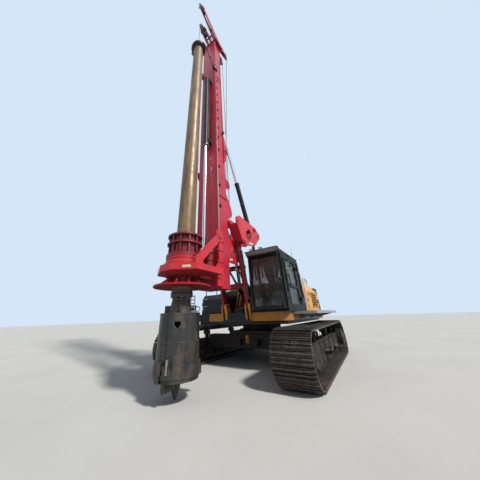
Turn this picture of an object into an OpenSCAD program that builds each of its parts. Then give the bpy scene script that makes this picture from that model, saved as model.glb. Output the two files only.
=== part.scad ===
// Rotary piling rig: crawler undercarriage, slewing upper, luffing linkage, mast, rotary drive,
// telescopic kelly bar and drilling bucket. Millimetres, +X forward, +Y to the rig's left, +Z up.

/* [Undercarriage] */
// Overall length of each crawler
track_len = 5900; // [5400:50:6200]
// Overall height of each crawler, grouser tip to grouser tip
track_h = 1080; // [1000:10:1140]
// Width of the track shoes
shoe_w = 850; // [700:10:900]
// Distance between the two crawlers' centre planes
gauge = 3750; // [3600:10:3900]
// Number of shoes in each track
shoe_count = 56; // [50:2:60]

/* [Upper structure] */
// Height of the underside of the deck
deck_z = 1200; // [1190:5:1230]
// Depth of the deck and its skirt
deck_h = 220; // [180:10:240]
// Rear face of the counterweight, behind the slewing axis
tail_x = 3900; // [3700:50:4100]
// Half of the upper's width over its side houses
upper_half_w = 1600; // [1500:10:1620]
// Height of the engine house above the deck
house_h = 1050; // [900:10:1150]

/* [Cab] */
// Front face of the cab, ahead of the slewing axis
cab_front = 1750; // [1650:10:1800]
// Length of the cab
cab_len = 1950; // [1850:10:2000]
// Width of the cab
cab_w = 1100; // [1050:10:1110]
// Height of the cab over its roof
cab_h = 1730; // [1650:10:1800]
// Thickness of the cab's walls and door
cab_wall = 60; // [50:5:70]

/* [Mast] */
// Front face of the mast, ahead of the slewing axis
mast_front = 3200; // [3180:5:3210]
// Width of the mast box
mast_w = 720; // [700:10:740]
// Depth of the mast box
mast_d = 620; // [600:10:640]
// Plate thickness of the mast box
mast_wall = 20; // [16:2:30]
// Height of the mast's foot
mast_foot = 2000; // [1950:10:2050]
// Height of the top of the mast box
mast_top = 16400; // [16200:50:16600]

/* [Rotary drive and kelly] */
// Drilling axis, ahead of the slewing axis
kelly_x = 4100; // [4090:5:4110]
// Outside diameter of the kelly's outer tube
kelly_d = 470; // [450:5:480]
// Height of the top of the kelly's outer tube
kelly_top = 14150; // [14130:10:14250]
// Height of the underside of the drive's housing
drive_z = 2170; // [2160:5:2180]
// Diameter of the drive's shock-absorbing cage
cage_d = 880; // [850:10:900]

/* [Drilling bucket] */
// Outside diameter of the bucket's shell
bucket_d = 840; // [780:10:880]
// Height of the top of the bucket's shell
bucket_top = 1430; // [1420:5:1440]
// Height of the underside of the bucket's shell
bucket_base = 400; // [380:5:420]
// Wall of the bucket's shell
bucket_wall = 30; // [20:2:40]

/* [Hidden] */

$fn = 48;
fit = 0.3;              // gap at a seat between two bodies
clear = 8;              // running gap between bodies
tail_y = 1500;          // half width of the counterweight

// ---- named places, all in the slewing axis frame ----
track_r = track_h / 2;
grouser = 30;           // height of a grouser above its shoe
shoe_t = 35;            // thickness of a shoe's plate
chain_h = 105;          // depth of the track chain inside the shoes
chain_w = 260;          // width of the track chain
chain_in = track_r - grouser - shoe_t - chain_h; // radius of the wheels that the chain runs on
straight = track_len - track_h;  // straight run between the end wheels' axles
frame_w = 400;          // width of a track frame
roller_r = 105;
roller_z = track_r - chain_in + roller_r + 0.5;
ring_r = 700;           // slewing ring
ring_z = 1090;          // underside of the slewing ring
deck_top = deck_z + deck_h;
house_top = deck_top + house_h;
tank_h = 620;           // height of the right-hand tank box
cab_y1 = 1660;          // cab's outer side
cab_y0 = cab_y1 - cab_w;
cab_back = cab_front - cab_len;
cab_floor = deck_top;
cab_roof = cab_floor + cab_h;
door_x0 = cab_front - 1420; // door opening, along X
door_x1 = cab_front - 330;
door_z0 = cab_floor + 90;
door_z1 = cab_roof - 150;
door_gap = 6;
hinge_x = door_x0 - 16; // axis of the door's hinges
hinge_y = cab_y1 + 24;
hinge_zs = [door_z0 + 260, door_z1 - 260];
house_front = cab_back - 60;
house_back = 3150;      // rear face of the engine house, behind the axis
hood_t = 50;            // thickness of the hood and the house's walls

foot_p = [1700, 1600];  // [x, z] of the boom's foot pin
head_p = [2080, 3500];  // boom's head pin
tie_shift = [-1110, 510]; // from the boom's pins to the tie links' pins
tie_foot = foot_p + tie_shift;
tie_head = head_p + tie_shift;
mast_p = [2440, 4130];  // mast's tilting pin
luff_foot = [450, 1600]; // luffing cylinder's foot pin
luff_eye = [1820, 2750];  // luffing cylinder's rod eye, on the boom
luff_y = 170;           // centre plane of each luffing cylinder
tilt_foot = [1230, 4190]; // foot of the mast cylinders
tilt_eye = [2560, 7440];  // rod eyes of the mast cylinders
tilt_y = 500;           // centre plane of each mast cylinder
arm_y = [400, 460];     // a boom arm and a tie link, along Y
inner_y = [345, 385];   // inner and outer plates of the mast carrier, along Y
outer_y = [660, 700];
ear_in = [340, 392];    // the deck's ears on both sides of the arms and links, along Y
ear_out = [468, 510];

mast_y = mast_w / 2;
mast_back = mast_front - mast_d;
rail_w = 60;            // guide rail proud of the mast's side
rail_t = 80;
joint_z = [5000, 12600]; // bolted joints of the mast
flange_t = 40;
hole_r = 70;
hole_x = mast_front - 210;
crowd_x = mast_front + 160; // axis of the crowd cylinder
crowd_r = 100;
crowd_rod_r = 55;
crowd_low = 7300;       // ends of the crowd cylinder's barrel
crowd_high = 12200;
crowd_pin_z = 3020;     // rod eye on the carriage
crowd_up = 3900;        // stroke of the carriage

winch_p = [2230, 3180]; // main winch's drum axis
winch_r = 390;
winch_y = [290, 330];   // a winch side plate, along Y
aux_p = [2330, 5900];   // auxiliary winch's drum axis

housing_h = 230;        // depth of the drive's housing
rim_h = 140;            // depth of its flat rim
housing_top = drive_z + housing_h;
sleeve_r = kelly_d / 2 + 12; // bore for the kelly through the drive
hub_r = sleeve_r + 45;  // outside of the turning sleeve
drum_top = 2640;        // top of the fixed drum under the cage
cage_top = 3180;
plate_z = 1950;         // underside of the sleeve's lower plate
plate_t = 35;
plate_r = 650;         // the sleeve's lower plate, the foremost edge of the machine
bolt_pcd = 1080;        // casing driver bolts in the lower plate
bolt_r = 16;
bolt_n = 12;
// the frame's origin is under the middle of the whole machine
mid_x = (kelly_x + plate_r - tail_x) / 2;

kelly_low = 1860;       // lower end of the outer tube
kelly_wall = 25;
inner_r = 175;          // the inner bar
inner_wall = 35;
guide_z = 12900;        // underside of the kelly guide's shoes
collar_r = 350;
sheave_r = 330;         // radius of the main rope's sheaves to the bottom of the groove
jib_r = 260;            // radius of the auxiliary rope's sheaves
head_pin = [kelly_x - sheave_r, mast_top + 680]; // main rope's front sheave
jib_pin = [kelly_x + 280, mast_top + 1550]; // auxiliary rope's front sheave
tail_pin = [mast_back - 500, mast_top + 400]; // rear sheaves' axle
jib_y = 400;            // plane of the auxiliary rope, left of the main rope's
gate_t = 60;
gate_hinge = [kelly_x - bucket_d / 2 - 55, bucket_base - 40];

// ---- small helpers ----
module box(x, y, z) {
    translate([x[0], y[0], z[0]]) cube([x[1] - x[0], y[1] - y[0], z[1] - z[0]]);
}
// the children and their mirror image across the machine's middle
module both() {
    children();
    mirror([0, 1, 0]) children();
}
// a rod along Y at p = [x, z]
module rod_y(p, r, y) {
    translate([p[0], y[0], p[1]]) rotate([-90, 0, 0]) cylinder(r = r, h = y[1] - y[0]);
}
// a rod along X at y, z
module rod_x(y, z, r, x) {
    translate([x[0], y, z]) rotate([0, 90, 0]) cylinder(r = r, h = x[1] - x[0]);
}
module rod_z(x, y, r, z) {
    translate([x, y, z[0]]) cylinder(r = r, h = z[1] - z[0]);
}
// a plate with an outline in X and Z
module plate_y(pts, y) {
    translate([0, y[1], 0]) rotate([90, 0, 0]) linear_extrude(y[1] - y[0]) polygon(pts);
}
// a plate with an outline in Y and Z
module plate_x(pts, x) {
    translate([x[0], 0, 0]) rotate([90, 0, 90]) linear_extrude(x[1] - x[0]) polygon(pts);
}
// a bar with round ends between two points [x, z], along Y
module link_y(a, b, r, y) {
    d = b - a;
    n = norm(d);
    s = [-d[1], d[0]] * r / n;
    union() {
        plate_y([a + s, a - s, b - s, b + s], y);
        rod_y(a, r, y);
        rod_y(b, r, y);
    }
}
// children drawn along +Z are laid from point a towards point b
module along(a, b) {
    d = b - a;
    translate(a) rotate([0, acos(d[2] / norm(d)), atan2(d[1], d[0])]) children();
}
module band_z(r1, r0, z) {
    difference() {
        cylinder(r = r1, h = z[1] - z[0]);
        translate([0, 0, -1]) cylinder(r = r0, h = z[1] - z[0] + 2);
    }
}

// ---- crawlers ----
side_y = gauge / 2;
// a point on a stadium around the two end wheels, s along the pitch line and h outside it
pitch_r = chain_in + chain_h;
pitch_len = 2 * straight + 2 * PI * pitch_r;
function lap(s) = s - floor(s / pitch_len) * pitch_len;
function on_track(s, h) = let (
        u = lap(s), arc = PI * pitch_r, r = pitch_r + h, x = straight / 2
    )
    u < straight ? [x - u, track_r - r]
    : u < straight + arc ? let (a = (u - straight) / pitch_r * 180 / PI)
        [-x - r * sin(a), track_r - r * cos(a)]
    : u < 2 * straight + arc ? [-x + (u - straight - arc), track_r + r]
    : let (a = (u - 2 * straight - arc) / pitch_r * 180 / PI)
        [x + r * sin(a), track_r + r * cos(a)];
// one shoe's outline: [share of the pitch, height above the chain], three grousers
shoe_shape = [[0.02, 0], [0.03, shoe_t], [0.10, shoe_t], [0.14, shoe_t + grouser], [0.19, shoe_t + grouser],
    [0.23, shoe_t], [0.45, shoe_t], [0.50, shoe_t + grouser], [0.55, shoe_t],
    [0.77, shoe_t], [0.81, shoe_t + grouser], [0.86, shoe_t + grouser], [0.90, shoe_t], [0.97, shoe_t],
        [0.98, 0]];
shoe_pitch = pitch_len / shoe_count;
module stadium(r, y) {
    link_y([-straight / 2, track_r], [straight / 2, track_r], r, y);
}
module track(side) {
    y = side * side_y;
    color([0.23, 0.20, 0.19]) difference() {
        union() {
            plate_y([for (i = [0:shoe_count - 1]) for (p = shoe_shape) on_track((i + p[0]) * shoe_pitch,
                p[1])],
                [y - shoe_w / 2, y + shoe_w / 2]);
        }
        stadium(pitch_r - 1, [y + chain_w / 2, y + shoe_w]);
        stadium(pitch_r - 1, [y - shoe_w, y - chain_w / 2]);
        stadium(chain_in, [y - shoe_w, y + shoe_w]);
    }
}
wheel_x = straight / 2;
module track_frame(side) {
    y = side * side_y;
    h = frame_w / 2;
    top = track_h - (track_r - chain_in) - 240;
    color([0.09, 0.09, 0.10]) difference() {
        union() {
            box([-wheel_x + 430, wheel_x - 470], [y - h, y + h], [roller_z + roller_r + 12, top]);
            for (s = [-1, 1])
                box([-wheel_x + 430, wheel_x - 470], [y + s * (h - 20) - 20, y + s * (h - 20) + 20],
                    [roller_z - 40, roller_z + roller_r + 12]);
            // arms that carry the end wheels
            for (s = [-1, 1], e = [-1, 1])
                box([e < 0 ? -wheel_x - 120 : wheel_x - 470, e < 0 ? -wheel_x + 430 : wheel_x + 120],
                    [y + s * (h - 25) - 25, y + s * (h - 25) + 25], [track_r - 130, track_r + 130]);
            // posts of the carrier rollers
            for (x = carrier_xs) box([x - 40, x + 40], [y - 60, y + 60],
                [top, carrier_z - carrier_r - fit]);
        }
        for (e = [-1, 1]) rod_y([e * wheel_x, track_r], 70, [y - shoe_w, y + shoe_w]);
        // sloped mud ramps
        for (s = [-1, 1])
            plate_y([[-1600, top + 1], [1600, top + 1], [1500, top - 60], [-1500, top - 60]],
                s > 0 ? [y + 130, y + h + 1] : [y - h - 1, y - 130]);
    }
}
carrier_xs = [-850, 850];
carrier_r = 70;
carrier_z = track_h - (track_r - chain_in) - carrier_r - fit;
roller_count = 9;
roller_step = (straight - 1250) / (roller_count - 1);
module track_wheels(side) {
    y = side * side_y;
    h = frame_w / 2 - 50;
    color([0.13, 0.12, 0.12]) {
        // front idler, with its axle
        rod_y([wheel_x, track_r], 70, [y - h - 50, y + h + 50]);
        difference() {
            rod_y([wheel_x, track_r], chain_in - 0.5, [y - 105, y + 105]);
            rod_y([wheel_x, track_r], 70, [y - 106, y + 106]);
            for (s = [-1, 1])
                rod_y([wheel_x, track_r], chain_in - 60, s > 0 ? [y + 70, y + 106] : [y - 106, y - 70]);
        }
        // rear sprocket with its final drive
        rod_y([-wheel_x, track_r], 70, [y - h - 50, y + h + 50]);
        difference() {
            union() {
                rod_y([-wheel_x, track_r], chain_in - 45, [y - 60, y + 60]);
                for (a = [0:30:330])
                    translate([-wheel_x, y - 40, track_r]) rotate([0, a, 0])
                        translate([chain_in - 60, 0, -35]) cube([58, 80, 70]);
            }
            rod_y([-wheel_x, track_r], 70, [y - 61, y + 61]);
        }
        rod_y([-wheel_x, track_r], 250,
            [side > 0 ? y + h + 50.5 : y - h - 230, side > 0 ? y + h + 230 : y - h - 50.5]);
        // lower rollers
        for (i = [0:roller_count - 1])
            rod_y([-(straight - 1250) / 2 + i * roller_step - 20, roller_z], roller_r,
                [y - h - 9.5, y + h + 9.5]);
        // carrier rollers on top
        for (x = carrier_xs) {
            rod_y([x, carrier_z], carrier_r, [y - 110, y + 110]);
        }
    }
}

// ---- car body ----
module car_body() {
    h = side_y - frame_w / 2;
    color([0.09, 0.09, 0.10]) difference() {
        union() {
            box([-950, 950], [-750, 750], [470, 900]);
            for (x = [-980, 620]) {
                box([x, x + 360], [-h, h], [430, 790]);
            }
            rod_z(0, 0, ring_r - 20, [880, ring_z]);
            both() plate_y([[-980, 790], [980, 790], [700, ring_z - 120], [-700, ring_z - 120]],
                [300, 340]);
            // tow lugs at both ends
            for (e = [-1, 1], s = [-1, 1])
                box(e > 0 ? [979, 1180] : [-1180, -979], [s * 300 - 25, s * 300 + 25], [520, 680]);
        }
        for (e = [-1, 1]) rod_y([e * 1110, 600], 40, [-400, 400]);
    }
}
module slew_ring() {
    color([0.16, 0.16, 0.17]) translate([0, 0, ring_z]) band_z(ring_r, ring_r - 140,
        [ring_z, deck_z - fit]);
}

// ---- upper structure ----
deck_front = 1700;
module deck() {
    foot = [foot_p[0] - 260, foot_p[0] + 90];
    color([0.80, 0.55, 0.10]) difference() {
        union() {
            box([-2700, deck_front], [-upper_half_w, upper_half_w], [deck_z, deck_top]);
            // rails that reach back under the house to the counterweight
            box([-house_back, -2699], [-tail_y + 200, tail_y - 200], [deck_z, deck_top]);
            // ears of the boom's foot pins
            both() for (y = [ear_in, ear_out]) plate_y([[foot[0], deck_top - 20],
                [deck_front, deck_top - 20],
                [deck_front, deck_z + 40], [deck_front + 60, deck_z + 40], [foot[1] + 30, foot_p[1] - 40],
                [foot[1] + 10, foot_p[1] + 70], [foot_p[0] - 70, foot_p[1] + 100],
                    [foot_p[0] - 110, foot_p[1] + 20]], y);
            // ears of the tie links' foot pins
            both() for (y = [ear_in, ear_out]) plate_y([[tie_foot[0] - 300, deck_top - 20],
                [tie_foot[0] + 420, deck_top - 20], [tie_foot[0] + 100, tie_foot[1] - 20],
                [tie_foot[0] + 60, tie_foot[1] + 80], [tie_foot[0] - 60, tie_foot[1] + 80],
                [tie_foot[0] - 100, tie_foot[1] - 20]], y);
            // ears of the luffing cylinders' foot pins
            both() for (y = luff_ears) plate_y([[luff_foot[0] - 220, deck_top - 20],
                [luff_foot[0] + 260, deck_top - 20],
                [luff_foot[0] + 75, luff_foot[1] + 50], [luff_foot[0] - 75, luff_foot[1] + 50]], y);
        }
        both() rod_y(foot_p, 50 + fit, [0, 600]);
        both() rod_y(tie_foot, 40 + fit, [0, 600]);
        both() rod_y(luff_foot, 35 + fit, [0, 300]);
        // chamfered front corners
        both() translate([deck_front, upper_half_w, deck_z - 1]) rotate([0, 0, 45])
            translate([-120, -120, 0]) cube([240, 240, deck_h + 2]);
    }
}
luff_ears = [[luff_y - 118, luff_y - 88], [luff_y + 88, luff_y + 118]];
module engine_house() {
    y = upper_half_w - 60;
    z = [deck_top, house_top];
    color([0.82, 0.56, 0.09]) difference() {
        // crowned section with sloped shoulders
        plate_x([[-y, z[0]], [y, z[0]], [y, z[1] - 260], [y - 180, z[1]], [-y + 180, z[1]],
            [-y, z[1] - 260]],
            [-house_back, house_front]);
        // hollow engine bay, open under the hood
        box([-house_back + hood_t, house_front - hood_t], [-y + hood_t, y - hood_t],
            [z[0] + hood_t, z[1] - 260]);
        box([hood_x[0] + 60, hood_x[1] - 60], [hood_y[0] + 60, hood_y[1] - 60], [z[1] - 300, z[1] + 1]);
        // grille mouths in both sides
        both() box([-2850, -1900], [y - hood_t - 1, y + 1], [z[0] + 180, z[1] - 340]);
    }
    // lugs that carry the hood's hinge pins
    color([0.82, 0.56, 0.09]) both() for (y = [[500, 553], [647, 700]]) difference() {
        union() {
            rod_y(hood_pin, 20, y);
            box([hood_pin[0] - 20, hood_pin[0] + 20], y, [house_top - 1, hood_pin[1]]);
        }
        rod_y(hood_pin, 10 + fit, [y[0] - 1, y[1] + 1]);
    }
    color([0.10, 0.10, 0.10]) both() for (i = [0:6])
        box([-2850, -1900], [y - hood_t + 10, y - 10],
            [z[0] + 180 + grille_step * (i + 0.35), z[0] + 180 + grille_step * (i + 0.65)]);
}
grille_step = (house_h - 520) / 7;
hood_x = [-2750, -1050];
hood_y = [-900, 900];
hood_pin = [hood_x[0] - 24, house_top + 24]; // hood's hinge axis, behind it on the roof
module engine_hood() {
    color([0.85, 0.60, 0.12]) difference() {
        box(hood_x, hood_y, [house_top + fit, house_top + 90]);
        box([hood_x[0] + 40, hood_x[1] - 40], [hood_y[0] + 40, hood_y[1] - 40],
            [house_top - 1, house_top + 60]);
    }
    // knuckles and pins
    color([0.85, 0.60, 0.12]) both() {
        rod_y(hood_pin, 20, [560, 640]);
        rod_y(hood_pin, 10, [500, 700]);
        box([hood_pin[0], hood_x[0] + 5], [560, 640], [hood_pin[1] - 8, hood_pin[1] + 8]);
    }
}
module engine() {
    color([0.35, 0.33, 0.10]) box([-2500, -1250], [-480, 480], [deck_top + hood_t, house_top - 120]);
}
module counterweight() {
    color([0.13, 0.13, 0.13])
        linear_z([[-house_back, -tail_y], [-house_back, tail_y], [-tail_x + 250, tail_y],
            [-tail_x, tail_y - 350],
            [-tail_x, -tail_y + 350], [-tail_x + 250, -tail_y]], [deck_z - 40, house_top - 60]);
}
module linear_z(pts, z) {
    translate([0, 0, z[0]]) linear_extrude(z[1] - z[0]) polygon(pts);
}
module side_tank() {
    y = upper_half_w - 60;
    color([0.11, 0.11, 0.12]) difference() {
        union() {
            plate_y([[house_front, deck_top], [1560, deck_top], [1560, deck_top + tank_h - 160],
                [1400, deck_top + tank_h], [0, deck_top + tank_h], [-50, deck_top + tank_h + 260],
                [house_front, deck_top + tank_h + 260]], [-y, -620]);
        }
        // steps cut in the nose of the box
        for (i = [0:1]) box([1300 - 1, 1561], [-y - 1, -y + 260],
            [deck_top + 140 + i * 230, deck_top + 260 + i * 230]);
    }
}
module walkway() {
    color([0.45, 0.46, 0.47]) {
        for (s = [-1, 1])
            box([-2600, s > 0 ? 1300 : 1100], s > 0 ? [upper_half_w, 2250] : [-2250, -upper_half_w],
                [deck_top - 70, deck_top - 20]);
    }
    color([0.12, 0.12, 0.12]) for (s = [-1, 1], x = [-2300, -900, 500])
        plate_x(s > 0 ? [[upper_half_w, deck_z + 20], [2150, deck_top - 70], [upper_half_w, deck_top - 70]]
            : [[-upper_half_w, deck_z + 20], [-upper_half_w, deck_top - 70], [-2150, deck_top - 70]],
                [x, x + 40]);
}
module exhaust() {
    color([0.07, 0.07, 0.07]) {
        difference() {
            rod_z(-950, 1180, 70, [house_top, house_top + 420]);
            rod_z(-950, 1180, 60, [house_top + 100, house_top + 421]);
        }
        // air cleaner
        rod_z(-650, 1180, 120, [house_top, house_top + 330]);
    }
}

// ---- cab ----
cab_x = [cab_back, cab_front];
win_z = [cab_floor + 420, cab_roof - 200];
module cab_shell() {
    w = cab_wall;
    color([0.10, 0.10, 0.11]) difference() {
        // box with a raked brow and a chamfered rear top
        plate_y([[cab_back, cab_floor], [cab_front, cab_floor], [cab_front, cab_floor + 900],
            [cab_front - 60, cab_roof - 60], [cab_front - 130, cab_roof], [cab_back + 120, cab_roof],
            [cab_back, cab_roof - 160]], [cab_y0, cab_y1]);
        plate_y([[cab_back + w, cab_floor + w], [cab_front - w, cab_floor + w],
            [cab_front - w, cab_floor + 900],
            [cab_front - 60 - w, cab_roof - 60 - w], [cab_front - 130 - w, cab_roof - w],
                [cab_back + 120, cab_roof - w],
            [cab_back + w, cab_roof - 200]], [cab_y0 + w, cab_y1 - w]);
        // front pane
        box([cab_front - w - 60, cab_front + 1], [cab_y0 + 90, cab_y1 - 90],
            [cab_floor + 130, cab_roof - 190]);
        // rear pane
        box([cab_back - 1, cab_back + w + 1], [cab_y0 + 150, cab_y1 - 150], [win_z[0] + 200, win_z[1]]);
        // right pane
        box([cab_back + 300, cab_front - 160], [cab_y0 - 1, cab_y0 + w + 1], win_z);
        // left pane behind the door
        box([cab_back + 130, door_x0 - 90], [cab_y1 - w - 1, cab_y1 + 1], win_z);
        // door opening
        box([door_x0, door_x1], [cab_y1 - w - 1, cab_y1 + 1], [door_z0, door_z1]);
        // left quarter pane ahead of the door
        box([door_x1 + 70, cab_front - 100], [cab_y1 - w - 1, cab_y1 + 1],
            [cab_floor + 500, cab_roof - 260]);
        // skylight
        box([cab_back + 700, cab_front - 350], [cab_y0 + 220, cab_y1 - 220],
            [cab_roof - w - 1, cab_roof + 1]);
    }
    // hinge pins of the door, each between two ears
    color([0.10, 0.10, 0.11]) for (z = hinge_zs) {
        for (e = [z - 60, z + 40]) difference() {
            box([hinge_x - 20, hinge_x + 14], [cab_y1, hinge_y + 20], [e, e + 20]);
            rod_z(hinge_x, hinge_y, 10, [e - 1, e + 21]);
        }
        rod_z(hinge_x, hinge_y, 10, [z - 60, z + 60]);
    }
}
module cab_glass() {
    t = 12;
    m = cab_wall / 2;
    color([0.20, 0.28, 0.27]) {
        difference() {
            box([cab_front - 150, cab_front], [cab_y0 + 90, cab_y1 - 90],
                [cab_floor + 130, cab_roof - 190]);
            plate_y([[cab_front - 160, cab_floor + 129], [cab_front - m, cab_floor + 129],
                [cab_front - m, cab_floor + 900],
                [cab_front - 60 - m, cab_roof - 60], [cab_front - 160, cab_roof - 60]],
                    [cab_y0 + 80, cab_y1 - 80]);
            plate_y([[cab_front + 10, cab_floor + 129], [cab_front - m + t, cab_floor + 129],
                [cab_front - m + t, cab_floor + 900],
                [cab_front - 60 - m + t, cab_roof - 60], [cab_front + 10, cab_roof - 60]],
                    [cab_y0 + 80, cab_y1 - 80]);
        }
        box([cab_back + m, cab_back + m + t], [cab_y0 + 150, cab_y1 - 150], [win_z[0] + 200, win_z[1]]);
        box([cab_back + 300, cab_front - 160], [cab_y0 + m, cab_y0 + m + t], win_z);
        box([cab_back + 130, door_x0 - 90], [cab_y1 - m - t, cab_y1 - m], win_z);
        box([door_x1 + 70, cab_front - 100], [cab_y1 - m - t, cab_y1 - m],
            [cab_floor + 500, cab_roof - 260]);
        box([cab_back + 700, cab_front - 350], [cab_y0 + 220, cab_y1 - 220],
            [cab_roof - m - t, cab_roof - m]);
    }
}
guard_bars = 9;
module cab_guard() {
    x = [cab_front, cab_front + 70];
    y = [cab_y0 + 20, cab_y1 - 20];
    color([0.06, 0.06, 0.06]) {
        // frame on stand-off feet, and upright bars
        difference() {
            box([x[0] + 30, x[1]], y, [cab_floor + 60, cab_roof + 60]);
            box([x[0] + 29, x[1] + 1], [y[0] + 50, y[1] - 50], [cab_floor + 110, cab_roof + 10]);
        }
        for (z = [cab_floor + 70, cab_floor + 840]) both_sides(y, 50) box([x[0], x[0] + 30], [0, 50],
            [z, z + 50]);
        for (i = [1:guard_bars])
            box([x[0] + 40, x[0] + 60], [y[0] + (y[1] - y[0]) * i / (guard_bars + 1) - 8,
                y[0] + (y[1] - y[0]) * i / (guard_bars + 1) + 8],
                [cab_floor + 110, cab_roof + 10]);
        box([x[0] + 30, x[0] + 39.5], [y[0] + 50, y[1] - 50], [cab_floor + 560, cab_floor + 600]);
    }
}
module both_sides(y, w) {
    translate([0, y[0], 0]) children();
    translate([0, y[1] - w, 0]) children();
}
module cab_seat() {
    x = cab_back + 620;
    y = (cab_y0 + cab_y1) / 2;
    z = cab_floor + cab_wall;
    color([0.12, 0.12, 0.13]) {
        box([x - 180, x + 200], [y - 180, y + 180], [z, z + 300]);
        box([x - 260, x + 280], [y - 250, y + 250], [z + 300, z + 420]);
        plate_y([[x - 260, z + 420], [x - 130, z + 420], [x - 230, z + 1080], [x - 340, z + 1080]],
            [y - 230, y + 230]);
        // consoles and armrests
        both_sides([y - 400, y + 400], 110) box([x - 200, x + 330], [0, 110], [z, z + 560]);
    }
}
module cab_door() {
    w = cab_wall;
    x = [door_x0 + door_gap, door_x1 - door_gap];
    z = [door_z0 + door_gap, door_z1 - door_gap];
    color([0.10, 0.10, 0.11]) difference() {
        box(x, [cab_y1 - w, cab_y1], z);
        box([x[0] + 70, x[1] - 70], [cab_y1 - w - 1, cab_y1 + 1], [z[0] + 90, z[0] + 560]);
        box([x[0] + 70, x[1] - 70], [cab_y1 - w - 1, cab_y1 + 1], [z[0] + 650, z[1] - 80]);
    }
    color([0.10, 0.10, 0.11]) for (h = hinge_zs) difference() {
        union() {
            rod_z(hinge_x, hinge_y, 20, [h - 38, h + 38]);
            box([hinge_x, x[0] + 60], [hinge_y - 6, hinge_y + 6], [h - 38, h + 38]);
            box([x[0] + 20, x[0] + 60], [cab_y1, hinge_y + 6], [h - 38, h + 38]);
        }
        rod_z(hinge_x, hinge_y, 10 + fit, [h - 40, h + 40]);
    }
    color([0.05, 0.05, 0.05]) {
        box([x[1] - 60, x[1] - 35], [cab_y1, cab_y1 + 45], [z[0] + 590, z[0] + 620]);
        box([x[1] - 60, x[1] - 35], [cab_y1, cab_y1 + 45], [z[0] + 850, z[0] + 880]);
        box([x[1] - 60, x[1] - 35], [cab_y1 + 45, cab_y1 + 65], [z[0] + 590, z[0] + 880]);
    }
}
module door_glass() {
    m = cab_wall / 2;
    x = [door_x0 + door_gap + 70, door_x1 - door_gap - 70];
    z = [door_z0 + door_gap, door_z1 - door_gap];
    color([0.20, 0.28, 0.27]) {
        box(x, [cab_y1 - m - 12, cab_y1 - m], [z[0] + 90, z[0] + 560]);
        box(x, [cab_y1 - m - 12, cab_y1 - m], [z[0] + 650, z[1] - 80]);
    }
}

// ---- luffing linkage ----
module boom() {
    color([0.55, 0.06, 0.08]) {
        both() link_y(foot_p, head_p, 120, arm_y);
        // discs on the arms around the luffing pin, and the spacers that carry it
        both() rod_y(luff_eye, 110, [arm_y[0] - 40, arm_y[0]]);
        both() rod_y(luff_eye, 80, [luff_y + 60, arm_y[0] - 40]);
        rod_y(luff_eye, 80, [-luff_y + 60, luff_y - 60]);
        rod_y(luff_eye, luff_pin_r, [-luff_y - 60, luff_y + 60]);
        // cross tube between the arms
        rod_y(foot_p + (head_p - foot_p) * 0.3, 90, [-arm_y[0], arm_y[0]]);
        both() rod_y(foot_p, 50, [ear_in[0] - 10, arm_y[0]]);
        both() rod_y(foot_p, 50, [arm_y[1], ear_out[1] + 10]);
        both() rod_y(head_p, 50, [inner_y[0], arm_y[0]]);
        both() rod_y(head_p, 50, [arm_y[1], outer_y[1] + 15]);
    }
}
module tie_links() {
    color([0.16, 0.05, 0.06]) both() {
        link_y(tie_foot, tie_head, 70, arm_y);
        rod_y(tie_foot, 40, [ear_in[0] - 10, arm_y[0]]);
        rod_y(tie_foot, 40, [arm_y[1], ear_out[1] + 10]);
        rod_y(tie_head, 40, [inner_y[0], arm_y[0]]);
        rod_y(tie_head, 40, [arm_y[1], outer_y[1] + 15]);
    }
}
luff_pin_r = 35;
luff_len = norm(luff_eye - luff_foot);
luff_barrel_len = 1150;
luff_rod_r = 42;
function at_y(p, y) = [p[0], y, p[1]];
module luff_barrels() {
    color([0.07, 0.07, 0.08]) for (s = [-1, 1]) difference() {
        union() {
            along(at_y(luff_foot, s * luff_y), at_y(luff_eye, s * luff_y)) {
                translate([0, 0, 50]) cylinder(r = 78, h = luff_barrel_len - 50);
                translate([0, 0, luff_barrel_len - 80]) cylinder(r = 86, h = 80);
            }
            rod_y(luff_foot, 75, [s * luff_y - 60, s * luff_y + 60]);
        }
        along(at_y(luff_foot, s * luff_y), at_y(luff_eye, s * luff_y))
            translate([0, 0, 150]) cylinder(r = luff_rod_r + fit, h = luff_len);
    }
    color([0.3, 0.3, 0.3]) both() {
        rod_y(luff_foot, 35, [luff_ears[0][0] - 8, luff_y - 60]);
        rod_y(luff_foot, 35, [luff_y + 60, luff_ears[1][1] + 8]);
    }
}
module luff_rods() {
    color([0.75, 0.75, 0.77]) for (s = [-1, 1]) difference() {
        union() {
            along(at_y(luff_foot, s * luff_y), at_y(luff_eye, s * luff_y))
                translate([0, 0, 289]) cylinder(r = luff_rod_r, h = luff_len - 289 - 60);
            rod_y(luff_eye, 72, [s * luff_y - 45, s * luff_y + 45]);
        }
        rod_y(luff_eye, luff_pin_r + 12, [-400, 400]);
    }
}
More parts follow.
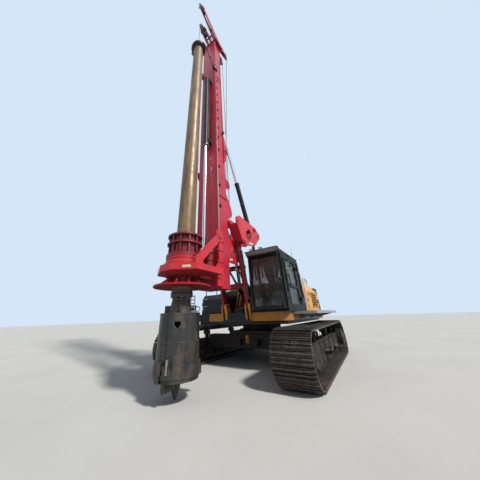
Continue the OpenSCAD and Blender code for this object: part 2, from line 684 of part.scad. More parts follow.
// the mast's carrier at the linkage's head: on each side a box of two plates, open at the rear
carrier_out = [[mast_p[0] + 115, mast_p[1] + 105], [mast_p[0] - 95, mast_p[1] + 235],
    [tilt_foot[0] - 30, tilt_foot[1] + 110],
    [tie_head[0] - 170, tie_head[1] + 110], [tie_head[0] - 120, tie_head[1] - 70], [1390, 3510],
        [head_p[0] + 20, head_p[1] - 120],
    [head_p[0] + 120, head_p[1] - 60], [mast_p[0] + 125, mast_p[1] - 60]];
carrier_in = [[mast_p[0] + 85, mast_p[1] + 60], [mast_p[0] - 60, mast_p[1] + 120],
    [tilt_foot[0] - 30, tilt_foot[1] + 65],
    [tie_head[0] - 100, tie_head[1] + 80], [tie_head[0] - 90, tie_head[1] - 70], [1390, 3560],
        [head_p[0], head_p[1] - 110],
    [head_p[0] + 100, head_p[1] - 60], [mast_p[0] + 85, mast_p[1] - 90]];
module mast_carrier() {
    color([0.84, 0.14, 0.16]) difference() {
        union() {
            both() plate_y(carrier_in, inner_y);
            both() plate_y(carrier_out, outer_y);
            // front plate of each box
            both() plate_y([[head_p[0] + 140, head_p[1] + 75], [mast_p[0] + 85, mast_p[1] - 90],
                [mast_p[0] + 55, mast_p[1] - 90],
                [head_p[0] + 108, head_p[1] + 95]], [inner_y[0], outer_y[1]]);
            rod_y([1560, 3740], 80, [-inner_y[0], inner_y[0]]);
            both() rod_y([1560, 3740], 55, [inner_y[0], outer_y[0]]);
            // bosses of the tilting pin
            both() rod_y(mast_p, 95, [inner_y[1], inner_y[1] + 40]);
        }
        both() rod_y([1760, 3850], 190, [outer_y[0] - 1, outer_y[1] + 1]);
        both() rod_y(head_p, 50 + fit, [inner_y[0] - 1, outer_y[1] + 1]);
        both() rod_y(tie_head, 40 + fit, [inner_y[0] - 1, outer_y[1] + 1]);
    }
    color([0.3, 0.3, 0.3]) {
        rod_y(mast_p, 60, [-inner_y[0], inner_y[0]]);
        both() rod_y(tilt_foot, 45, [inner_y[1], outer_y[0]]);
        both() rod_y(tilt_foot, 70, [outer_y[1], outer_y[1] + 30]);
    }
}

// ---- mast cylinders ----
tilt_len = norm(tilt_eye - tilt_foot);
tilt_barrel_len = 1990;
tilt_rod_r = 55;
module mast_barrels() {
    color([0.06, 0.06, 0.07]) for (s = [-1, 1]) difference() {
        union() {
            along(at_y(tilt_foot, s * tilt_y), at_y(tilt_eye, s * tilt_y)) {
                translate([0, 0, 40]) cylinder(r = 84, h = tilt_barrel_len - 40);
                translate([0, 0, tilt_barrel_len - 110]) cylinder(r = 92, h = 110);
            }
            rod_y(tilt_foot, 90, [s * tilt_y - 60, s * tilt_y + 60]);
        }
        along(at_y(tilt_foot, s * tilt_y), at_y(tilt_eye, s * tilt_y))
            translate([0, 0, 125]) cylinder(r = tilt_rod_r + fit, h = tilt_len);
        rod_y(tilt_foot, 45 + fit, [-1000, 1000]);
    }
}
module mast_rod(s) {
    y = s * tilt_y;
    color([0.78, 0.78, 0.80]) {
        along(at_y(tilt_foot, y), at_y(tilt_eye, y))
            translate([0, 0, tilt_len - 1970]) cylinder(r = tilt_rod_r, h = 1970 - 60);
        rod_y(tilt_eye, 85, [y - 35, y + 35]);
        rod_y(tilt_eye, 45, s > 0 ? [lug_y[1] + fit, y - 35] : [y + 35, -lug_y[1] - fit]);
    }
}
lug_y = [mast_w / 2, mast_w / 2 + 40];

// ---- mast ----
// one length of the mast box, closed by flanges where two lengths are bolted together
module mast_box(z) {
    difference() {
        union() {
            box([mast_back, mast_front], [-mast_y, mast_y], z);
            both() box([mast_front - rail_t, mast_front], [mast_y - 1, mast_y + rail_w], [z[0], z[1]]);
        }
        box([mast_back + mast_wall, mast_front - mast_wall], [-mast_y + mast_wall, mast_y - mast_wall],
            [z[0] + flange_t, z[1] - flange_t]);
    }
}
hole_low = [for (z = [4570:860:7200]) z];
hole_mid = [for (z = [7880:610:12490]) z];
module mast_holes(zs) {
    for (z = zs) rod_y([hole_x, z], hole_r, [-mast_y - 1, mast_y + 1]);
}
module mast_lower() {
    color([0.72, 0.08, 0.12]) difference() {
        union() {
            mast_box([mast_foot, joint_z[0]]);
            // lugs that take the tilting pin
            both() plate_y([[mast_back + 1, mast_p[1] - 300], [mast_back + 1, mast_p[1] + 300],
                [mast_p[0] - 50, mast_p[1] + 110],
                [mast_p[0] - 110, mast_p[1] + 40], [mast_p[0] - 110, mast_p[1] - 40],
                    [mast_p[0] - 50, mast_p[1] - 110]], [240, 330]);
            // wing gussets behind the mast above the winch
            both() plate_y([[mast_back + 1, joint_z[0] - 40], [mast_back + 1, joint_z[0] - 580],
                [mast_back - 250, joint_z[0] - 500], [mast_back - 290, joint_z[0] - 360]], [mast_y - 60, mast_y - 25]);
        }
        mast_holes([for (z = hole_low) if (z < joint_z[0] - 100) z]);
        both() rod_y(mast_p, 60 + fit, [230, 340]);
    }
}
module mast_middle() {
    color([0.72, 0.08, 0.12]) difference() {
        union() {
            mast_box(joint_z);
            // brackets of the mast cylinders' rod eyes
            both() plate_y([[mast_back + 90, tilt_eye[1] - 760], [mast_back + 90, tilt_eye[1] + 800],
                [mast_back - 10, tilt_eye[1] + 660], [tilt_eye[0] - 100, tilt_eye[1] + 90],
                [tilt_eye[0] - 100, tilt_eye[1] - 90], [mast_back - 10, tilt_eye[1] - 620]],
                    [mast_y - 1, lug_y[1]]);
        }
        mast_holes([for (z = hole_low) if (z > joint_z[0] + 100) z]);
        mast_holes([for (z = hole_mid) if (z < joint_z[1] - 100) z]);
    }
}
module mast_upper() {
    color([0.72, 0.08, 0.12]) {
        mast_box([joint_z[1], mast_top]);
    }
}
module crowd_barrel() {
    z = [crowd_low, crowd_high];
    color([0.07, 0.07, 0.08]) difference() {
        union() {
            rod_z(crowd_x, 0, crowd_r, z);
            rod_z(crowd_x, 0, crowd_r + 18, [z[0], z[0] + 110]);
        }
        rod_z(crowd_x, 0, crowd_rod_r + fit, [z[0] - 1, z[1] - 120]);
    }
    // clamps to the mast's front face
    color([0.75, 0.09, 0.12]) for (c = [z[0] + 130, z[1] - 320])
        difference() {
            box([mast_front, crowd_x + 20], [-170, 170], [c, c + 180]);
            rod_z(crowd_x, 0, crowd_r, [c - 1, c + 181]);
        }
}
module winch_frame() {
    color([0.80, 0.10, 0.12]) difference() {
        union() {
            both() union() {
                rod_y(winch_p, winch_r, winch_y);
                plate_y([[mast_back, winch_p[1] - winch_r], [mast_back, winch_p[1] + winch_r],
                    [winch_p[0], winch_p[1] + winch_r], [winch_p[0], winch_p[1] - winch_r]], winch_y);
            }
            for (z = [-1, 1]) rod_y([mast_back - 60, winch_p[1] + z * (winch_r - 50)], 40,
                [-winch_y[0], winch_y[0]]);
        }
        // the mast's front face of this frame is flush with the mast's back
        box([mast_back, mast_front], [-mast_y, mast_y], [mast_foot, joint_z[0]]);
        both() rod_y(winch_p, hub_pin_r + fit, [0, 600]);
    }
    // auxiliary winch's frame, on the mast's back
    color([0.75, 0.09, 0.12]) difference() {
        both() plate_y([[mast_back, aux_p[1] - 260], [mast_back, aux_p[1] + 260],
            [aux_p[0] - 120, aux_p[1] + 200],
            [aux_p[0] - 200, aux_p[1]], [aux_p[0] - 120, aux_p[1] - 200]], [240, 270]);
        both() rod_y(aux_p, 60 + fit, [0, 600]);
    }
}
hub_pin_r = 130;
module drum(p, r, flange, core, y) {
    rod_y(p, r, [-y + 30, y - 30]);
    both() rod_y(p, flange, [y - 30, y]);
    both() rod_y(p, core, [y, y + 58]);
}
module winch_drum() {
    color([0.20, 0.18, 0.17]) union() drum(winch_p, 230, 330, hub_pin_r, winch_y[0] - clear);
}
module aux_drum() {
    color([0.20, 0.18, 0.17]) union() drum(aux_p, 120, 175, 60, 240 - clear);
}

// ---- mast head ----
head_t = 40;
module head_frame() {
    color([0.72, 0.08, 0.12]) difference() {
        union() {
            both() plate_y([[tail_pin[0] - 130, tail_pin[1] - 120], [mast_back - 30, mast_top + 59],
                [mast_front + 40, mast_top + 59],
                [head_pin[0] - 60, head_pin[1] - 150], [head_pin[0] + 140, head_pin[1] - 60],
                    [head_pin[0] + 130, head_pin[1] + 120],
                [head_pin[0] - 120, head_pin[1] + 170], [mast_front - 500, mast_top + 640],
                    [tail_pin[0] + 60, tail_pin[1] + 170],
                [tail_pin[0] - 130, tail_pin[1] + 110]], [head_in, head_in + head_t]);
            // base plate on the mast, and cross tubes
            box([mast_back - 40, mast_front + 40], [-mast_y, mast_y + 190], [mast_top, mast_top + 60]);
            rod_y([mast_front - 420, mast_top + 330], 70, [-head_in - head_t, jib_y - 90]);
            rod_y(bar_p, 45, [-head_in - head_t, jib_y - 90]);
        }
        rod_y(head_pin, 50 + fit, [-1000, 1000]);
        rod_y(tail_pin, 50 + fit, [-1000, 1000]);
        // a slot that lets the sheaves turn between the plates
        rod_y(tail_pin, sheave_r + 60, [-head_in, head_in]);
    }
}
head_in = 95;
bar_p = [mast_front + 40, mast_top + 900];
// the auxiliary rope's arm on the left of the head
module head_jib() {
    color([0.72, 0.08, 0.12]) difference() {
        union() {
            for (y = [jib_y - 90, jib_y + 50])
                plate_y([[tail_pin[0] - 110, tail_pin[1] - 100], [mast_back - 30, mast_top + 60],
                    [mast_back + 480, mast_top + 60],
                    [jib_pin[0] - 60, jib_pin[1] - 170], [jib_pin[0] + 120, jib_pin[1] - 90],
                        [jib_pin[0] + 110, jib_pin[1] + 110],
                    [jib_pin[0] - 110, jib_pin[1] + 120], [mast_back + 100, mast_top + 560],
                        [tail_pin[0] - 110, tail_pin[1] + 110]],
                    [y, y + head_t]);
            for (p = [[mast_front + 260, mast_top + 940], [mast_back + 200, mast_top + 200]]) rod_y(p, 50,
                [jib_y - 90, jib_y + 90]);
        }
        rod_y(jib_pin, 45 + fit, [0, 1000]);
        rod_y(tail_pin, 50 + fit, [0, 1000]);
    }
}
module sheave(p, r, y, w, axle_r, out) {
    color([0.10, 0.10, 0.11]) union() {
        rod_y(p, axle_r, [y - out, y + out]);
        difference() {
            rod_y(p, r + 40, [y - w, y + w]);
            translate([p[0], y, p[1]]) rotate([90, 0, 0]) rotate_extrude()
                translate([r, 0]) polygon([[45, -w + 8], [45, w - 8], [0, 14], [0, -14]]);
            for (s = [-1, 1]) rod_y(p, r - 60, s > 0 ? [y + 18, y + w + 1] : [y - w - 1, y - 18]);
        }
        rod_y(p, axle_r + 40, [y - w, y + w]);
    }
}

// ---- carriage and rotary drive ----
shoe_gap = fit;
car_z = [2140, 3540];
car_y = mast_y + rail_w + 14;
module carriage() {
    color([0.86, 0.10, 0.12]) difference() {
        union() {
            // side plates beside the mast, with guide shoes around the rails
            both() plate_y([[mast_front - 110, car_z[0]], [mast_front + 200, car_z[0]],
                [mast_front + 200, 2480],
                [mast_front + 90, 2620], [mast_front + 90, 3170], [mast_front + 200, 3260],
                    [mast_front + 200, car_z[1]],
                [mast_front - 110, car_z[1]]], [car_y, car_y + 60]);
            both() box([mast_front + shoe_gap, mast_front + 60], [mast_y - 40, car_y],
                [car_z[0], car_z[1]]);
            both() for (z = [car_z[0], car_z[1] - 320])
                box([mast_front - 190, mast_front - rail_t - shoe_gap], [mast_y + 8, car_y + 60],
                    [z, z + 320]);
            both() for (z = [car_z[0], car_z[1] - 320])
                box([mast_front - 191, mast_front - 109], [car_y, car_y + 60], [z, z + 320]);
            // cross box that holds the drive and the crowd rod's ears
            box([mast_front + 30, mast_front + 200], [-car_y, car_y], [car_z[0], 2420]);
            both() box([mast_front + 60, mast_front + 230], [70, 110], [2400, crowd_pin_z + 90]);
            both() box([mast_front + 30, mast_front + 62], [100, mast_y], [2400, 2900]);
            // diagonal stays to the corners of the housing
            both() link_y([mast_front + 130, 3320], [4190, housing_top + 95], 95,
                [car_y + 60, car_y + 130]);
        }
        both() rod_y([mast_front + 160, crowd_pin_z], 40.3, [0, 200]);
    }
    color([0.3, 0.3, 0.3]) rod_y([crowd_x, crowd_pin_z], 40, [-109, 109]);
}
module crowd_rod() {
    color([0.80, 0.80, 0.82]) difference() {
        union() {
            rod_z(crowd_x, 0, crowd_rod_r, [crowd_pin_z + 60, crowd_low + 600]);
            rod_y([crowd_x, crowd_pin_z], 85, [-55, 55]);
        }
        rod_y([crowd_x, crowd_pin_z], 40.3, [-60, 60]);
    }
}
// the housing's outline, from above, around the drilling axis
house_pts = [[mast_front + 200 - kelly_x, -690], [240, -650], [560, -170], [560, 170], [240, 650],
    [mast_front + 200 - kelly_x, 690]];
module drive_housing() {
    color([0.86, 0.10, 0.12]) difference() {
        union() {
            translate([kelly_x, 0, 0]) linear_z(house_pts, [housing_top - rim_h, housing_top]);
            // bevelled underside and the box that joins it to the carriage
            translate([kelly_x, 0, drive_z]) cylinder(r1 = 390, r2 = 550, h = housing_h - rim_h + 1);
            box([mast_front + 200, kelly_x - 200], [-330, 330], [drive_z, housing_top - rim_h + 1]);
            rod_z(kelly_x, 0, 455, [housing_top - 1, housing_top + 90]);
            rod_z(kelly_x, 0, cage_d / 2 - 15, [housing_top + 89, drum_top]);
        }
        rod_z(kelly_x, 0, hub_r + fit, [drive_z - 1, drum_top + 1]);
    }
}
cage_posts = 12;
module drive_cage() {
    color([0.70, 0.07, 0.10]) translate([kelly_x, 0, 0]) union() {
        for (z = [[drum_top, drum_top + 45], [drum_top + 300, drum_top + 340], [cage_top - 40, cage_top]])
            translate([0, 0, z[0]]) band_z(cage_d / 2, cage_d / 2 - 120, z);
        for (i = [0:cage_posts - 1]) rotate([0, 0, i * 360 / cage_posts])
            translate([cage_d / 2 - 85, -22, drum_top + 40]) cube([50, 44, cage_top - drum_top - 60]);
    }
}
motor_xy = [[-520, 365], [-520, -365]];
module drive_motors() {
    for (m = motor_xy) translate([kelly_x + m[0], m[1], housing_top]) union() {
        r = m[0] < 0 ? 120 : 105;
        color([0.84, 0.10, 0.12]) {
            translate([0, 0, 90.5]) cylinder(r = r * 0.85, h = 120);
        }
        color([0.84, 0.10, 0.12]) cylinder(r = r, h = 90);
        color([0.84, 0.10, 0.12]) translate([0, 0, 211]) cylinder(r = r * 0.95, h = 150);
        color([0.10, 0.10, 0.11]) translate([-70, -75, 361.5]) cube([140, 150, 200]);
    }
}
module drive_sleeve() {
    color([0.84, 0.10, 0.12]) translate([kelly_x, 0, 0]) difference() {
        union() {
            translate([0, 0, plate_z]) cylinder(r = plate_r, h = plate_t);
            translate([0, 0, plate_z]) cylinder(r = hub_r, h = drum_top - plate_z);
            for (i = [0:11]) rotate([0, 0, i * 30])
                translate([0, 10, 0]) rotate([90, 0, 0]) linear_extrude(20)
                    polygon([[hub_r - 5, plate_z + plate_t - 5], [plate_r - 70, plate_z + plate_t - 5],
                        [hub_r + 50, drive_z - 15], [hub_r - 5, drive_z - 15]]);
        }
        translate([0, 0, plate_z - 1]) cylinder(r = sleeve_r, h = 2000);
        for (i = [0:bolt_n - 1]) rotate([0, 0, (i + 0.5) * 360 / bolt_n])
            translate([bolt_pcd / 2, 0, plate_z - 1]) cylinder(r = bolt_r, h = plate_t + 2);
    }
}

// ---- kelly ----
module kelly_guide() {
    z = [guide_z, guide_z + 420];
    color([0.62, 0.07, 0.10]) difference() {
        union() {
            both() box([mast_front + shoe_gap, mast_front + 60], [mast_y - 40, car_y], z);
            both() box([mast_front - 110, mast_front + 60], [car_y, car_y + 40], z);
            both() box([mast_front - 150, mast_front - rail_t - shoe_gap], [mast_y + 8, car_y + 40], z);
            // arms that reach round the crowd cylinder to the collar
            both() plate_y([[mast_front + 59, z[0]], [mast_front + 59, z[1]],
                [kelly_x - 200, z[1] + 560], [kelly_x + 40, z[1] + 560],
                [kelly_x + 40, z[1] + 480], [kelly_x - 160, z[1] + 460]], [car_y - 60, car_y]);
            translate([kelly_x, 0, z[1] + 480]) cylinder(r = car_y + 6, h = 90);
        }
        rod_z(kelly_x, 0, kelly_d / 2 + fit, [z[1], z[1] + 700]);
        // the crowd cylinder passes inside
        box([mast_front, mast_front + 330], [-mast_y + 60, mast_y - 60], [z[0] - 1, z[1] + 700]);
    }
}
kelly_stop = guide_z + 420 + 570; // the collar rests on the guide's ring
module kelly_outer() {
    color([0.36, 0.27, 0.20]) translate([kelly_x, 0, 0]) difference() {
        union() {
            translate([0, 0, kelly_low]) cylinder(r = kelly_d / 2, h = kelly_top - kelly_low);
            translate([0, 0, kelly_stop + fit]) cylinder(r = collar_r, h = 110);
            translate([0, 0, kelly_stop + 110]) cylinder(r = kelly_d / 2 + 40, h = 70);
        }
        translate([0, 0, kelly_low - 1]) cylinder(r = inner_r + fit, h = kelly_top);
        translate([0, 0, kelly_low + 300]) cylinder(r = kelly_d / 2 - kelly_wall, h = kelly_top);
    }
}
stub = 100;     // half width of the square stub
inner_low = 1560;
module kelly_inner() {
    color([0.20, 0.17, 0.15]) translate([kelly_x, 0, 0]) union() {
        difference() {
            translate([0, 0, kelly_low - 31]) cylinder(r = inner_r, h = kelly_top - kelly_low - 80);
            translate([0, 0, kelly_low + 60]) cylinder(r = inner_r - inner_wall,
                h = kelly_top - kelly_low - 260);
        }
        translate([0, 0, kelly_low - 110]) cylinder(r = kelly_d / 2 + 8, h = 110 - fit);
        translate([-stub, -stub, inner_low]) cube([2 * stub, 2 * stub, kelly_low - 20 - inner_low]);
        // swivel at the rope's end
        translate([0, 0, kelly_top - 140]) cylinder(r = 90, h = 280);
        translate([0, 0, kelly_top + 130]) cylinder(r = 55, h = 160);
    }
}

// ---- drilling bucket ----
module bucket_shell() {
    r = bucket_d / 2;
    color([0.13, 0.14, 0.13]) translate([kelly_x, 0, 0]) difference() {
        union() {
            translate([0, 0, bucket_base]) cylinder(r = r, h = bucket_top - bucket_base);
            translate([0, 0, bucket_base]) cylinder(r = r + 32, h = 190);
            // kelly box with its gussets
            translate([-stub - 40, -stub - 40, bucket_top - 1]) cube([2 * stub + 80, 2 * stub + 80, 250]);
            for (a = [0:90:270]) rotate([0, 0, a + 45]) translate([150, -15, bucket_top - 1]) cube([190,
                30, 150]);
            // gate hinge lugs and the latch housing
            for (y = [-170, 110]) plate_y([[-r - 110, bucket_base - 70], [-r - 12, bucket_base - 70],
                [-r - 12, bucket_base],
                [-r + 2, bucket_base], [-r + 2, bucket_base + 190], [-r - 110, bucket_base + 60]],
                    [y, y + 60]);
            translate([r - 2, -80, bucket_base + 60]) cube([70, 160, 190]);
        }
        translate([0, 0, bucket_base - 1]) cylinder(r = r - bucket_wall, h = bucket_top - bucket_base - 39);
        translate([-stub, -stub, inner_low - 0.3]) cube([2 * stub, 2 * stub, 400]);
        // soil windows and vents
        for (a = [40, 160, 280]) rotate([0, 0, a]) translate([r - 80, -60, bucket_top - 260]) cube([140,
            120, 110]);
        translate([gate_hinge[0] - kelly_x, -300, gate_hinge[1]]) rotate([-90, 0, 0]) cylinder(r = 25.3,
            h = 600);
    }
}
module bucket_gate() {
    r = bucket_d / 2;
    color([0.18, 0.14, 0.11]) difference() {
        union() {
            rod_z(kelly_x, 0, r + 8, [bucket_base - fit - gate_t, bucket_base - fit]);
            // teeth and the fishtail pilot
            for (s = [-1, 1], i = [0:3])
                translate([kelly_x, 0, 0]) rotate([0, 0, s > 0 ? 8 : 188])
                    plate_y([[110 + i * 85, bucket_base - gate_t - 1 + 20],
                        [175 + i * 85, bucket_base - gate_t + 19],
                        [175 + i * 85, 250], [150 + i * 85, 190], [110 + i * 85, 260]], [10, 60]);
            plate_y([[kelly_x - 90, bucket_base - gate_t + 19],
                [kelly_x + 90, bucket_base - gate_t + 19], [kelly_x + 90, 170],
                [kelly_x, 25], [kelly_x - 90, 170]], [-25, 25]);
            // hinge knuckle
            box([gate_hinge[0] + 20, kelly_x - r + 60], [-100, 100],
                [bucket_base - gate_t - fit, bucket_base - fit]);
            rod_y(gate_hinge, 38, [-104, 104]);
            rod_y(gate_hinge, 25, [-180, 180]);
            // latch bar
            box([kelly_x + r + 10, kelly_x + r + 60], [-40, 40],
                [bucket_base - gate_t - fit, bucket_base + 55]);
        }
        // mouths that the teeth feed
        for (s = [-1, 1]) translate([kelly_x, 0, 0]) rotate([0, 0, s > 0 ? 0 : 180])
            box([110, r - 40], [-150, -20], [bucket_base - gate_t - 1, bucket_base + 1]);
        // the latch bar stays clear of the shell's rim
        rod_z(kelly_x, 0, r + 32 + 2, [bucket_base, bucket_base + 200]);
    }
}

// ---- the nodes, moved so that the origin is under the middle of the machine ----
module place() {
    translate([-mid_x, 0, 0]) children();
}
place() car_body();
place() slew_ring();
place() track_frame(1);  // track_frame_left
place() track_frame(-1);  // track_frame_right
place() track(1);  // track_left
place() track(-1);  // track_right
place() track_wheels(1);  // track_wheels_left
place() track_wheels(-1);  // track_wheels_right
place() deck();
place() engine_house();
place() engine_hood();
place() engine();
place() counterweight();
place() side_tank();
place() walkway();
place() exhaust();
place() cab_shell();
place() cab_glass();
place() cab_guard();
place() cab_seat();
place() cab_door();
place() door_glass();
place() boom();
place() tie_links();
place() luff_barrels();
place() luff_rods();
place() mast_carrier();
place() mast_barrels();
place() mast_rod(1);  // mast_rod_left
place() mast_rod(-1);  // mast_rod_right
place() mast_lower();
place() mast_middle();
place() mast_upper();
place() crowd_barrel();
place() winch_frame();
place() head_frame();
place() winch_drum();
place() aux_drum();
place() head_jib();
place() sheave(head_pin, sheave_r, 0, 45, 50,  // head_sheave
    head_in + head_t + 10);
place() sheave(jib_pin, jib_r, jib_y, 40, 45, 100);  // jib_sheave
place() sheave(tail_pin, sheave_r, 0, 45, 50,  // tail_sheave_main
    head_in + head_t + 10);
place() sheave(tail_pin, jib_r, jib_y, 40, 50, 100);  // tail_sheave_aux
place() carriage();
place() crowd_rod();
place() drive_housing();
place() drive_cage();
place() drive_motors();
place() drive_sleeve();
place() kelly_guide();
place() kelly_outer();
place() kelly_inner();
place() bucket_shell();
place() bucket_gate();
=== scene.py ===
import math
import random

import bpy
from mathutils import Matrix, Vector


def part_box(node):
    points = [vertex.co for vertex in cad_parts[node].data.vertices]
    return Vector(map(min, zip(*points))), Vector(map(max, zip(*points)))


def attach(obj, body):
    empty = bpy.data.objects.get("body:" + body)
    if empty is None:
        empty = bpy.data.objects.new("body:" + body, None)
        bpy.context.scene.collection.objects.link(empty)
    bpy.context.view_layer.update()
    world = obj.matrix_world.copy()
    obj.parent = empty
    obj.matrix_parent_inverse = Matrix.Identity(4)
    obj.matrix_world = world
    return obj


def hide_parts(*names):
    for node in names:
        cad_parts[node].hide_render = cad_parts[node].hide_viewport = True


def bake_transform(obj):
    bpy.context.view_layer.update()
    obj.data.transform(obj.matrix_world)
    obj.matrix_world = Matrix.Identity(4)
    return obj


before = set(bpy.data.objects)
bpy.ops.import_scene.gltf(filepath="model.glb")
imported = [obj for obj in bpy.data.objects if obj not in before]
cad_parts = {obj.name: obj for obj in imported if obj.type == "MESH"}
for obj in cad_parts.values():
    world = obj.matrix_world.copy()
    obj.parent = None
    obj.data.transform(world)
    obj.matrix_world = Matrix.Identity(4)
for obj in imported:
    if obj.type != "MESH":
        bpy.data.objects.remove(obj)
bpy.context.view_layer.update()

RNG = random.Random(7)
scene = bpy.context.scene
scene.view_settings.view_transform = "Standard"

MID = 0.425         # the shared frame's origin lies this far ahead of the slewing axis
UP, DOWN, FRONT = (0, 0, 1), (0, 0, -1), (1, 0, 0)
SIDES = (1, -1)     # the operator's left and right, as signs of Y
SIDE_NAME = {1: "left", -1: "right"}


def from_slew(x, y, z):
    """A point given from the slewing axis, in the shared frame."""
    return x - MID, y, z


def place(node):
    """A node's lowest and highest corner, from the slewing axis and to the millimetre."""
    return [[round(c.x + MID, 3), round(c.y, 3), round(c.z, 3)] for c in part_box(node)]


def middle(node):
    """The middle of a node's box: the axis of a drum, a sheave or a tube."""
    return [round((a + b) / 2, 3) for a, b in zip(*place(node))]


# Camera, light and floor
IMAGE, SENSOR = 480, 36.0                               # pixels and millimetres
FOCAL_PX, CENTRE_PX = 189.131, (222.356, 213.663)
EYE = (7.419, 3.415, 1.344)
YAW, PITCH, ROLL = 213.893, 28.492, -1.854              # degrees


def make_camera():
    yaw, pitch, roll = (math.radians(a) for a in (YAW, PITCH, ROLL))
    forward = Vector((math.cos(yaw) * math.cos(pitch), math.sin(yaw) * math.cos(pitch), math.sin(pitch)))
    level = Vector((math.sin(yaw), -math.cos(yaw), 0.0))
    above = level.cross(forward)
    right = level * math.cos(roll) + above * math.sin(roll)
    up = above * math.cos(roll) - level * math.sin(roll)
    data = bpy.data.cameras.new("camera")
    data.sensor_width = SENSOR
    data.lens = FOCAL_PX / IMAGE * SENSOR
    data.shift_x = (IMAGE / 2 - CENTRE_PX[0]) / IMAGE
    data.shift_y = (CENTRE_PX[1] - IMAGE / 2) / IMAGE
    data.clip_start, data.clip_end = 0.05, 400
    cam = bpy.data.objects.new("camera", data)
    scene.collection.objects.link(cam)
    rows = [(right[i], up[i], -forward[i], from_slew(*EYE)[i]) for i in range(3)]
    cam.matrix_world = Matrix((*rows, (0, 0, 0, 1)))
    bpy.context.scene.camera = cam


def make_light():
    sun = bpy.data.lights.new("key", "SUN")
    sun.energy, sun.angle, sun.color = 3.5, math.radians(7), (1.0, 0.965, 0.9)
    ob = bpy.data.objects.new("key", sun)
    ob.rotation_euler = Vector((-0.22, -1.0, -1.0)).to_track_quat("-Z", "Y").to_euler()
    scene.collection.objects.link(ob)


def make_sky():
    """A soft light on the object, and a pale sky for what the camera, metal and glass see."""
    scene.world = bpy.data.worlds.new("studio")
    scene.world.use_nodes = True
    t = scene.world.node_tree
    t.nodes.clear()
    out, mix, light, sky, path = (t.nodes.new("ShaderNode" + kind) for kind in (
        "OutputWorld", "MixShader", "Background", "Background", "LightPath"))
    for node, colour, strength in ((light, (0.8, 0.9, 1.0, 1), 0.3), (sky, (0.66, 0.79, 0.93, 1), 1.0)):
        node.inputs[0].default_value = colour
        node.inputs[1].default_value = strength
    seen = path.outputs["Is Camera Ray"]
    for ray in ("Is Glossy Ray", "Is Transmission Ray"):
        either = t.nodes.new("ShaderNodeMath")
        either.operation = "MAXIMUM"
        t.links.new(seen, either.inputs[0])
        t.links.new(path.outputs[ray], either.inputs[1])
        seen = either.outputs[0]
    for source, target in ((seen, mix.inputs[0]), (light.outputs[0], mix.inputs[1]),
                           (sky.outputs[0], mix.inputs[2]), (mix.outputs[0], out.inputs[0])):
        t.links.new(source, target)


make_camera()
make_light()
make_sky()


# Materials
class Graph:
    """A material's node tree around one Principled shader, in the piece's own coordinates."""

    def __init__(self, name):
        self.mat = bpy.data.materials.new(name)
        self.mat.use_nodes = True
        self.tree = self.mat.node_tree
        self.tree.nodes.clear()
        out = self.add("OutputMaterial")
        self.bsdf = self.add("BsdfPrincipled")
        self.tree.links.new(self.bsdf.outputs[0], out.inputs[0])
        coord = self.add("TexCoord")
        self.co, self.normal = coord.outputs["Object"], coord.outputs["Normal"]

    def add(self, kind, inputs=(), **props):
        n = self.tree.nodes.new("ShaderNode" + kind)
        for k, v in props.items():
            setattr(n, k, v)
        for k, v in dict(inputs).items():
            self.put(n.inputs[k], v)
        return n

    def put(self, socket, v):
        if isinstance(v, bpy.types.NodeSocket):
            self.tree.links.new(v, socket)
        elif isinstance(v, (tuple, list)) and len(v) == 3 and socket.type == "RGBA":
            socket.default_value = (*v, 1)
        else:
            socket.default_value = v

    def set(self, **values):
        """Sets the shader's own inputs, with _ for the spaces in their names."""
        for name, v in values.items():
            self.put(self.bsdf.inputs[name.replace("_", " ")], v)

    def math(self, op, a, b=0.0, clamp=False):
        return self.add("Math", {0: a, 1: b}, operation=op, use_clamp=clamp).outputs[0]

    def times(self, a, b):
        return self.math("MULTIPLY", a, b)

    def noise(self, scale, detail=4.0, rough=0.55, stretch=None):
        co = self.co
        if stretch:
            co = self.add("VectorMath", {0: co, 1: stretch}, operation="MULTIPLY").outputs[0]
        values = {"Vector": co, "Scale": scale, "Detail": detail, "Roughness": rough}
        return self.add("TexNoise", values).outputs[0]

    def ramp(self, fac, lo, hi, a=0.0, b=1.0):
        return self.add("MapRange", {0: fac, 1: lo, 2: hi, 3: a, 4: b}, clamp=True).outputs[0]

    def mix(self, fac, a, b):
        return self.add("Mix", {0: fac, 6: a, 7: b}, data_type="RGBA").outputs[2]

    def facing(self, lo, hi):
        """0 to 1 as a face's normal turns from one height to the other: how far it looks up, or down."""
        return self.ramp(self.add("SeparateXYZ", {0: self.normal}).outputs[2], lo, hi)

    def edge(self, radius):
        """About 1 on the corners of a shape, and 0 on its flats."""
        bevel = self.add("Bevel", {"Radius": radius}, samples=4).outputs[0]
        flat = self.add("NewGeometry").outputs["Normal"]
        dot = self.add("VectorMath", {0: bevel, 1: flat}, operation="DOT_PRODUCT").outputs["Value"]
        return self.ramp(dot, 0.99, 0.8)

    def occluded_shade(self, distance):
        """Painted shade: about 1 in corners and beneath overhangs, where less light reaches."""
        open_sky = self.add("AmbientOcclusion", {"Distance": distance}, samples=4).outputs["AO"]
        return self.ramp(open_sky, 0.75, 0.25)

    def bump(self, height, strength, distance):
        bump = self.add("Bump", {"Height": height, "Strength": strength, "Distance": distance})
        self.set(Normal=bump.outputs[0])


def darker(colour, share, lift=0.0):
    return [c * share + lift for c in colour]


